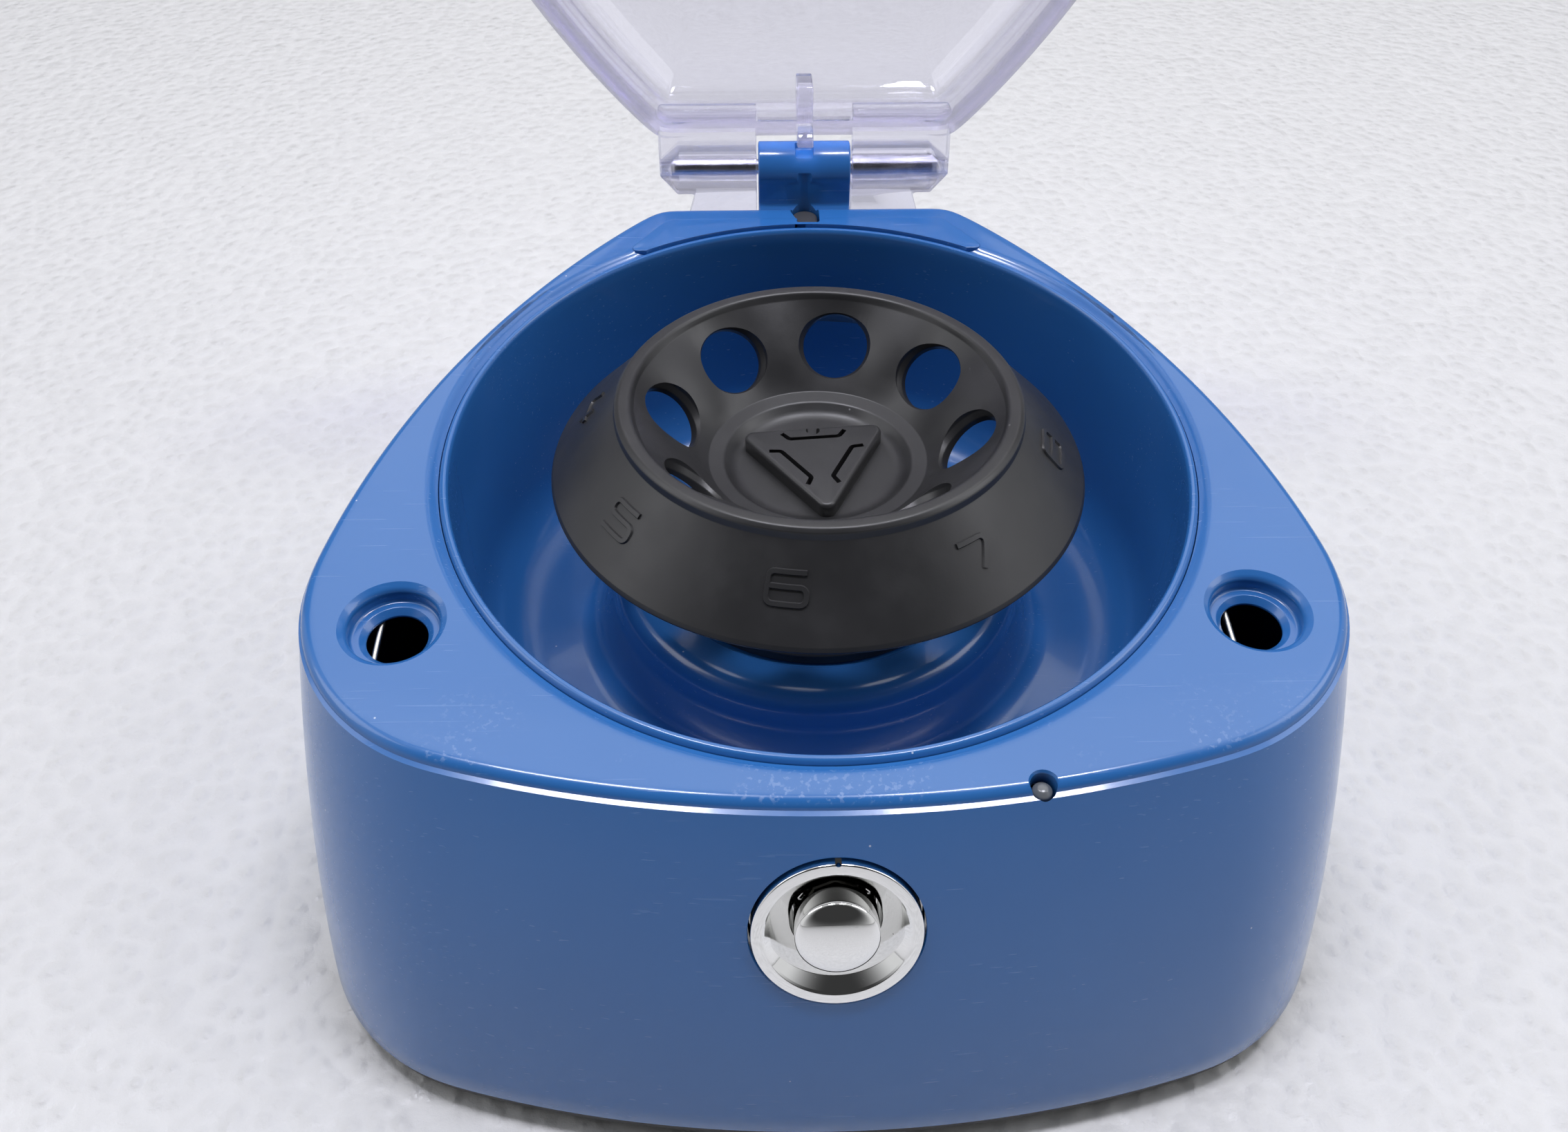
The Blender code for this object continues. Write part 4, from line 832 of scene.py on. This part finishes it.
def rotor():
    corners = [(0, -0.9), (13.4, -0.9, 3.0), (15.2, 0.8, 1.0), (17.65, 1.15, 0.5), (19.2, 2.7), (21.4, 4.9),
               (23.6, 7.1), (25.8, 9.3), (28.9, 12.4, 1.0), (29.5, 13.5, 0.8), (31.3, 13.5, 0.8), (31.95, 12.9, 0.5),
               (32.1, 11.75, 0.25), (42.55, 0.95, 0.5), (SKIRT_R, 0.25, 0.25), (42.7, -0.1, 0.2), (41.3, -0.1, 0.2),
               (31.0, 10.4, 1.0), (29.8, 10.5, 1.0), (17.6, -1.7, 1.0), (16.0, -2.9, 1.0), (8.6, -2.9, 0.6),
               (8.6, -11.5, 0.4), (6.3, -11.5, 0.4), (6.3, -3.1), (0, -3.1)]
    profile = [(p.x, p.y + SKIRT_Z) for p in rounded(corners, 6)]
    obj = solid("rotor_body", revolve(profile, 192, ripple=flute), ROTOR_BLACK)
    steps = [add(slab(boss_outline(12.8, 1.6), SKIRT_Z - 1.6, SKIRT_Z + 1.6, edge=0.7, steps=5))]
    hole = rounded([(0, 6), (TUBE_HOLE_R + 1.3, 6), (TUBE_HOLE_R + 0.55, 0.3, 0.6), (TUBE_HOLE_R, -0.7, 0.6),
                    (TUBE_HOLE_R, -6), (0, -6)], 4)
    for k in range(TUBES):
        a = FIRST_TUBE_ANGLE + k * math.tau / TUBES
        centre = Matrix.Translation((TUBE_RING_R * math.cos(a), TUBE_RING_R * math.sin(a), TUBE_RING_Z))
        place = centre @ Matrix.Rotation(a, 4, "Z") @ Matrix.Rotation(-math.pi / 4, 4, "Y")
        steps.append(cut(revolve(hole, 56, place)))
    steps += [cut(bm) for bm in boss_slots()]
    notch = BOSS_ANGLE + math.pi
    middle = Vector((math.cos(notch), math.sin(notch))) * 6.3
    steps.append(cut(cylinder(1.15, 3.0, 0.0, 24, Matrix.Translation((*middle, SKIRT_Z)))))
    combine(obj, steps)
    finished(obj, "rotor", "rotor_black", "rotor")


def motor_cover():
    profile = rounded([(7.5, 44.8, 0.2), (25.9, 44.8, 0.6), (26.5, 44.0, 0.3), (26.5, HILL_Z + 0.1, 0.1),
                       (22.0, HILL_Z + 0.1), (22.0, 41.0), (20.2, 41.0), (20.2, 43.2), (7.5, 43.2)], 4)
    obj = solid("motor_cover_disc", revolve(profile, 128), COVER_BLACK)
    finished(obj, "housing", "cover_black", "motor_cover")


# ---------------------------------------------------------------- lid and hinge

def lid_point(point, height):
    """A plan point on the closed lid, moved to the lid's open place."""
    return LID_PLACE @ Vector((point.x, (point.y - HINGE.y) / math.cos(TILT), height))


def lid_ring(outline, distance, height, shrink):
    return [lid_point(LID_MIDDLE + (p - LID_MIDDLE) * shrink, height) for p in inset(outline, distance)]


def rim_ring(outline, distance, lift=0.0):
    """The lid's lower edge, raised near the hinge so that it clears the knuckle's neck."""
    ring = []
    for p in inset(outline, distance):
        near = max(0.0, min(1.0, (p.y - 52.0) / 5.0)) * max(0.0, min(1.0, (26.0 - abs(p.x)) / 5.0))
        ring.append(lid_point(p, -HINGE_DROP + 0.35 + 1.25 * near + lift))
    return ring


def lid_shell():
    outline = softened(inset(SHARP_OUTLINE, LID_MARGIN), 3)
    outside = ((0.1, 2.0, 1.0), (0.3, 7.4, 1.0), (1.2, 12.6, 0.99), (3.0, 16.6, 0.94), (3.0, 19.2, 0.78),
               (3.0, 20.3, 0.5), (3.0, 20.6, 0.2))
    inside = ((LID_WALL + 0.3, 18.2, 0.2), (LID_WALL + 0.3, 17.9, 0.5), (LID_WALL + 0.3, 16.8, 0.76),
              (LID_WALL + 0.3, 14.4, 0.9), (LID_WALL + 0.2, 7.4, 1.0), (LID_WALL, 2.0, 1.0))
    rows = [rim_ring(outline, 0.45), rim_ring(outline, 0.1, 0.12), rim_ring(outline, 0.0, 0.45)]
    rows += [lid_ring(outline, *station) for station in along_path([Vector(s) for s in outside], 4)]
    rows.append([lid_point(LID_MIDDLE, 20.65)])
    inner = [[lid_point(LID_MIDDLE, 18.25)]]
    inner += [lid_ring(outline, *station) for station in along_path([Vector(s) for s in inside], 4)]
    inner += [rim_ring(outline, LID_WALL, 0.45), rim_ring(outline, LID_WALL - 0.1, 0.12),
              rim_ring(outline, LID_WALL - 0.45)]
    bm = skin(rows, closed=False)
    merge(bm, skin(inner, closed=False))
    bm.verts.ensure_lookup_table()
    count = len(outline)
    first, last = bm.verts[:count], bm.verts[-count:]
    for i in range(count):
        j = (i + 1) % count
        bm.faces.new((first[i], first[j], last[j], last[i]))
    obj = solid("clear_lid", bm, CLEAR)
    steps = []
    for side in (-1, 1):
        steps += [add(lid_arm(side)), add(lid_barrel(side)), add(peg_boss(side)),
                  cut(cylinder(2.15, -9.0, 3.0, 32, peg_place(side)))]
    steps += [add(lid_fin()), cut(cylinder(PIN_R + 0.15, 40, -40, 32, LID_PLACE @ QUARTER_Y))]
    combine(obj, steps)
    finished(obj, "lid", "lid_clear", "lid_shell", sharp=40.0)


def lid_arm(side):
    """From the lid's rear wall, over the barrel, to the tail that stops the open lid behind the housing."""
    near = KNUCKLE_HALF + 0.3
    corners = [(near, -12.0), (BARREL_END, -12.0, 0.8), (BARREL_END, 0.6, 0.5), (24.4, 4.2, 0.6), (20.9, 4.2, 0.6),
               (23.0, 11.0, 0.8), (near, 11.0, 0.8)]
    outline = [Vector((side * p.x, p.y)) for p in rounded(corners, 4)]
    if side < 0:
        outline.reverse()
    return slab(outline, -3.2, 1.0, LID_PLACE, 0.35, 3)


def lid_barrel(side):
    start = KNUCKLE_HALF + 0.31
    profile = rounded([(0, start), (4.7, start, 0.3), (4.7, 24.2, 0.5), (1.9, BARREL_END - 0.05, 0.3),
                       (0, BARREL_END - 0.05)], 4)
    return revolve(profile, 72, LID_PLACE @ Matrix.Rotation(side * math.pi / 2, 4, "Y"))


def lid_fin():
    """The interlock fin: a rib whose rounded lower corner turns about the hinge into the slot."""
    rounded_end = arc((0, 0), 10.9, math.radians(205), math.radians(232), 12)
    corners = [(-5.4, 3.0, 0.5), (-16.6, 5.0, 1.2), (-16.6, -4.4, 1.0)]
    outline = rounded([*corners, tuple(rounded_end[0])], 4)[:-1] + rounded_end + [Vector((-5.4, -4.4))]
    return slab(outline, -1.5, 1.5, LID_PLACE @ UPRIGHT, 0.3, 3)


def peg_place(side):
    return LID_PLACE @ Matrix.Translation((side * WELL_X, (WELL_Y - HINGE.y) / math.cos(TILT), 0.0))


def peg_boss(side):
    profile = rounded([(0, -4.6), (5.0, -4.6, 0.5), (5.3, 16.6), (0, 16.6)], 4)
    return revolve(profile, 48, peg_place(side))


def lid_pegs():
    face = -HINGE_DROP
    corners = [(0, 2.4), (2.0, 2.4, 0.3), (2.0, face + 0.1), (5.0, face, 0.3), (5.0, face - 2.0, 0.4),
               (3.5, face - 2.4, 0.3), (3.5, face - WIRE_DEPTH + 0.9, 0.3), (2.2, face - WIRE_DEPTH + 0.7, 0.3),
               (2.2, face - WIRE_DEPTH - 0.7, 0.3), (3.5, face - WIRE_DEPTH - 0.95, 0.4), (3.5, face - 7.6, 0.8),
               (1.8, face - 9.8, 0.8), (0, face - 9.8)]
    for name, side in (("lid_peg_left", -1), ("lid_peg_right", 1)):
        obj = solid("grooved_" + name, revolve(rounded(corners, 5), 56, peg_place(side)), PEG_WHITE)
        finished(obj, "lid", "peg_plastic", name)


def hinge_pin():
    half = 25.0
    profile = rounded([(0, half), (PIN_R, half, 0.35), (PIN_R, -half, 0.35), (0, -half)], 4)
    obj = solid("hinge_pin_rod", revolve(profile, 40, HINGE_AXIS), PIN_STEEL)
    finished(obj, "housing", "pin_steel", "hinge_pin")


# ---------------------------------------------------------------- button, latch, interlock and light

def dome_point(a):
    """The cap's shallow dome, from its middle at 0 to its edge at a quarter turn."""
    drop = DOME_R * (1 - math.cos(math.asin(5.2 * math.sin(a) / DOME_R)))
    return CAP_R * math.sin(a), 2.2 - drop - 0.7 * (1 - math.cos(a)) ** 2


def button():
    place = button_matrix()
    bezel = rounded([(11.62, 0.45, 0.25), (11.62, -4.1), (13.2, -4.1, 0.2), (13.2, -5.2, 0.2), (8.2, -5.2),
                     (8.2, -10.0), (3.3, -10.0), (3.3, -9.0), (6.3, -9.0), (6.3, -3.2, 0.3), (9.75, 0.2, 0.3),
                     (10.05, 0.45, 0.3)], 8)
    ring = solid("button_ring", revolve(bezel, 160, place), CHROME)
    combine(ring, [cut(cylinder(0.45, 3, -1, 16, place @ Matrix.Translation((0, 11.7, 0))))])
    finished(ring, "housing", "bezel_chrome", "button_bezel", sharp=50.0)
    dome = [dome_point(math.pi / 2 * k / 16) for k in range(17)]
    edge = [(CAP_R, 0.1), (CAP_R, -4.0), (0, -4.0)]
    cap = solid("button_dome", revolve(dome + edge, 128, place), CHROME)
    finished(cap, "button", "cap_chrome", "button_cap", sharp=50.0)


def wire_route():
    left, right = -WELL_X + WIRE_OFFSET, WELL_X + WIRE_OFFSET
    bend = ((0.0, -27.5), (0.0, -42.0), (1.8, -48.0), (7.0, -52.8), (15.0, -56.4))
    plan = [(left + x, y) for x, y in bend] + [(-36.0, -60.6), (-21.0, -63.7), (-10.3, -63.85), (0.0, -63.8)]
    plan += [(17.0, -62.4), (31.0, -59.9)] + [(right - x, y) for x, y in reversed(bend)]
    return along_path([face_place(x, y, WIRE_DEPTH) for x, y in plan], 6)


def latch_and_interlock():
    wire = solid("latch_spring_wire", tube(wire_route(), WIRE_R, 16), WIRE_STEEL)
    finished(wire, "latch", "spring_steel", "latch_wire", sharp=60.0)
    plunger = slab(slot_outline(0.3), 65.8, 70.2, edge=0.45, steps=4)
    obj = solid("interlock_block", plunger, PLUNGER_DARK)
    combine(obj, [add(brick((2.8, 2.2, 30.0), (0, 62.4, 51.6), 0.0))])
    finished(obj, "interlock", "plunger_dark", "interlock_plunger")
    lens = rounded([(0, 2.9), (0.7, 2.75, 0.4), (1.35, 2.2, 0.5), (1.45, 1.0), (1.45, -2.6), (0, -2.6)], 4)
    place = face_matrix(LED_X, LED_Y) @ Matrix.Translation((0, 0, -4.0))
    finished(solid("status_lens", revolve(lens, 40, place), LENS_GREY), "housing", "led_grey", "status_led")


# ---------------------------------------------------------------- rear

def rear_wall_y(z):
    level = (top_z(REAR_Y) - z) / (top_z(REAR_Y) - HOUSING_BOTTOM)
    return flare(Vector((0, REAR_Y)), level).y


def power_jack():
    profile = rounded([(0, 8.4), (0.7, 8.2, 0.3), (1.0, 7.6, 0.2), (1.0, 0.9), (2.9, 0.9), (2.9, 11.0, 0.25),
                       (3.2, 11.3, 0.2), (5.8, 11.3, 0.5), (6.2, 10.8, 0.3), (6.2, 10.1), (4.3, 10.1), (4.3, -1.0),
                       (0, -1.0)], 4)
    place = Matrix.Translation((JACK_X, rear_wall_y(JACK_Z) - 9.6, JACK_Z)) @ Matrix.Rotation(-math.pi / 2, 4, "X")
    obj = solid("power_socket", revolve(profile, 64, place), DARK_PLASTIC)
    finished(obj, "housing", "switch_black", "power_jack")


def power_switch():
    face = rear_wall_y(SWITCH_Z)
    obj = solid("switch_body", brick((11.0, 10.0, 17.0), (SWITCH_X, face - 4.2, SWITCH_Z), 0.0), DARK_PLASTIC)
    flat = Matrix.Translation((SWITCH_X, face + 1.2, SWITCH_Z)) @ QUARTER_X
    rim = rounded([(7, -10, 1.2), (7, 10, 1.2), (-7, 10, 1.2), (-7, -10, 1.2)], 5)
    opening = brick((9.0, 12.0, 15.2), (SWITCH_X, face + 1.6, SWITCH_Z), 0.0)
    combine(obj, [add(slab(rim, -0.7, 0.7, flat, 0.35, 3)), cut(opening)])
    finished(obj, "housing", "switch_black", "switch_frame")
    pivot = Matrix.Translation((SWITCH_X, face - 0.4, SWITCH_Z)) @ Matrix.Rotation(math.radians(-8.0), 4, "X")
    corners = [(3.5, -6.8, 0.5), (2.4, 0.0, 9.0), (3.5, 6.8, 0.5), (0.6, 6.8, 0.4), (-2.6, 2.4, 0.6),
               (-2.6, -2.4, 0.6), (0.6, -6.8, 0.4)]
    rocker = slab(rounded(corners, 5)[::-1], -4.1, 4.1, pivot @ UPRIGHT, 0.3, 3)
    finished(solid("rocker_key", rocker, DARK_PLASTIC), "rocker", "switch_black", "switch_rocker")


# ---------------------------------------------------------------- inner parts keep their CAD shapes

def inner_parts():
    looks = {
        "motor_can": STEEL, "motor_bracket": metal("bracket_zinc", (0.55, 0.55, 0.52), 0.32, brushed=0.006),
        "motor_end_cap": DARK_PLASTIC, "motor_magnet": plain_plastic("magnet_grey", (0.09, 0.09, 0.10), 0.6, 0.02),
        "upper_bushing": metal("bushing_bronze", (0.50, 0.30, 0.12), 0.35, brushed=0.003),
        "motor_armature": windings("armature_copper"), "motor_shaft": PIN_STEEL, "drive_hub": DARK_PLASTIC,
        "button_stem": DARK_PLASTIC, "button_spring": WIRE_STEEL, "latch_slider": DARK_PLASTIC,
        "latch_spring": WIRE_STEEL, "latch_guide": DARK_PLASTIC, "interlock_switch": DARK_PLASTIC,
        "circuit_board": circuit_green("board_green"),
        "board_capacitor": plain_plastic("capacitor_sleeve", (0.012, 0.025, 0.09), 0.3),
        "board_connector": plain_plastic("connector_nylon", (0.62, 0.60, 0.54), 0.45),
        "motor_lead_red": plain_plastic("lead_red", (0.42, 0.015, 0.012), 0.4),
        "motor_lead_black": plain_plastic("lead_black", (0.015, 0.015, 0.015), 0.4),
    }
    looks["lower_bushing"] = looks["upper_bushing"]
    for i in (1, 2, 3):
        looks[f"motor_grommet_{i}"] = RUBBER
        looks[f"bracket_screw_{i}"] = STEEL
    for i in (1, 2):
        looks[f"board_screw_{i}"] = STEEL
    for node, mat in looks.items():
        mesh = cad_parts[node].data
        mesh.materials.clear()
        mesh.materials.append(mat)


# ---------------------------------------------------------------- stage, light and camera

def stage_sheet(name, mat, place):
    bm = bmesh.new()
    bmesh.ops.create_grid(bm, x_segments=2, y_segments=2, size=2600.0)
    bmesh.ops.transform(bm, matrix=place, verts=bm.verts)
    solid(name, bm, mat)


def floor():
    f = Finish("pale_floor", (0.61, 0.61, 0.607), 0.5, Specular_IOR_Level=0.35)
    cells = f.node("TexVoronoi", {"feature": "SMOOTH_F1"}, Vector=f.place, Scale=330.0)
    f.blend_colour(f.ramp(cells.outputs["Distance"], 0.15, 0.75, 0.0, 0.35), (0.72, 0.72, 0.716))
    f.blend_rough(f.ramp(f.noise(4.0, 4.0), 0.4, 0.7), 0.28)
    f.raise_by(cells.outputs["Distance"], -0.9)
    f.raise_by(f.noise(2.2, 4.0), 0.35)
    stage_sheet("floor", f.done(), Matrix.Translation((0, 0, -FOOT_H)))


def backdrop():
    """A plain pale wall far behind the bench."""
    f = Finish("pale_wall", (0.50, 0.50, 0.505), 0.9)
    f.blend_colour(f.ramp(f.noise(400.0, 2.0), 0.3, 0.7), (0.53, 0.53, 0.53))
    stage_sheet("backdrop", f.done(), Matrix.Translation((0, 1500.0, 0)) @ QUARTER_X)


def area_light(name, place, target, size, power, colour):
    data = bpy.data.lights.new(name, "AREA")
    data.shape = "RECTANGLE"
    data.size, data.size_y = size
    data.energy = power
    data.color = colour
    obj = bpy.data.objects.new(name, data)
    bpy.context.scene.collection.objects.link(obj)
    obj.location = place
    obj.rotation_euler = (Vector(target) - Vector(place)).to_track_quat("-Z", "Y").to_euler()


def lights():
    """Soft panels over the bench, and a room that darkens in front, where the chrome mirrors it."""
    area_light("rear_panel", (0.1, 0.75, 1.15), (0, 0, 0.05), (1.5, 0.8), 5.8, (1.0, 0.99, 0.97))
    area_light("left_panel", (-0.9, 0.0, 0.8), (0, 0, 0.05), (0.5, 0.7), 2.1, (0.96, 0.96, 1.0))
    area_light("right_panel", (0.9, 0.0, 0.8), (0, 0, 0.05), (0.5, 0.7), 2.6, (0.96, 0.96, 1.0))
    area_light("ceiling_left", (-0.25, 0.05, 1.3), (0, 0, 0), (0.12, 0.30), 5.8, (0.90, 0.90, 1.0))
    area_light("ceiling_right", (0.28, 0.05, 1.3), (0, 0, 0), (0.12, 0.30), 5.8, (0.90, 0.90, 1.0))
    world = bpy.data.worlds.new("soft_room")
    bpy.context.scene.world = world
    world.use_nodes = True
    nodes, links = world.node_tree.nodes, world.node_tree.links
    direction = nodes.new("ShaderNodeTexCoord").outputs["Generated"]
    toward = nodes.new("ShaderNodeVectorMath")
    toward.operation = "DOT_PRODUCT"
    toward.inputs[1].default_value = Vector((0.0, -0.80, 0.60))
    links.new(direction, toward.inputs[0])
    ramp = nodes.new("ShaderNodeMapRange")
    ramp.interpolation_type = "SMOOTHSTEP"
    for key, value in (("From Min", 0.45), ("From Max", 0.86), ("To Min", 0.70), ("To Max", 0.04)):
        ramp.inputs[key].default_value = value
    links.new(toward.outputs["Value"], ramp.inputs["Value"])
    links.new(ramp.outputs[0], nodes["Background"].inputs["Strength"])
    nodes["Background"].inputs["Color"].default_value = (0.97, 0.98, 1.0, 1.0)


def camera():
    data = bpy.data.cameras.new("camera")
    data.lens, data.sensor_width = 31.4, 36.0
    obj = bpy.data.objects.new("camera", data)
    bpy.context.scene.collection.objects.link(obj)
    obj.location = (-0.0099, -0.1732, 0.2019)
    aim = Vector((0.019, 0.728, -0.6855))
    turn = aim.to_track_quat("-Z", "Y").to_matrix() @ Matrix.Rotation(math.radians(0.23), 3, "Z")
    obj.rotation_euler = turn.to_euler()
    bpy.context.scene.camera = obj


def main():
    camera()
    upper_housing()
    rotor_bowl()
    base_plate()
    feet_and_screws()
    motor_cover()
    rotor()
    rotor_digits()
    lid_shell()
    lid_pegs()
    hinge_pin()
    button()
    latch_and_interlock()
    power_jack()
    power_switch()
    inner_parts()
    floor()
    backdrop()
    lights()
    bpy.context.scene.view_settings.view_transform = "Standard"


main()
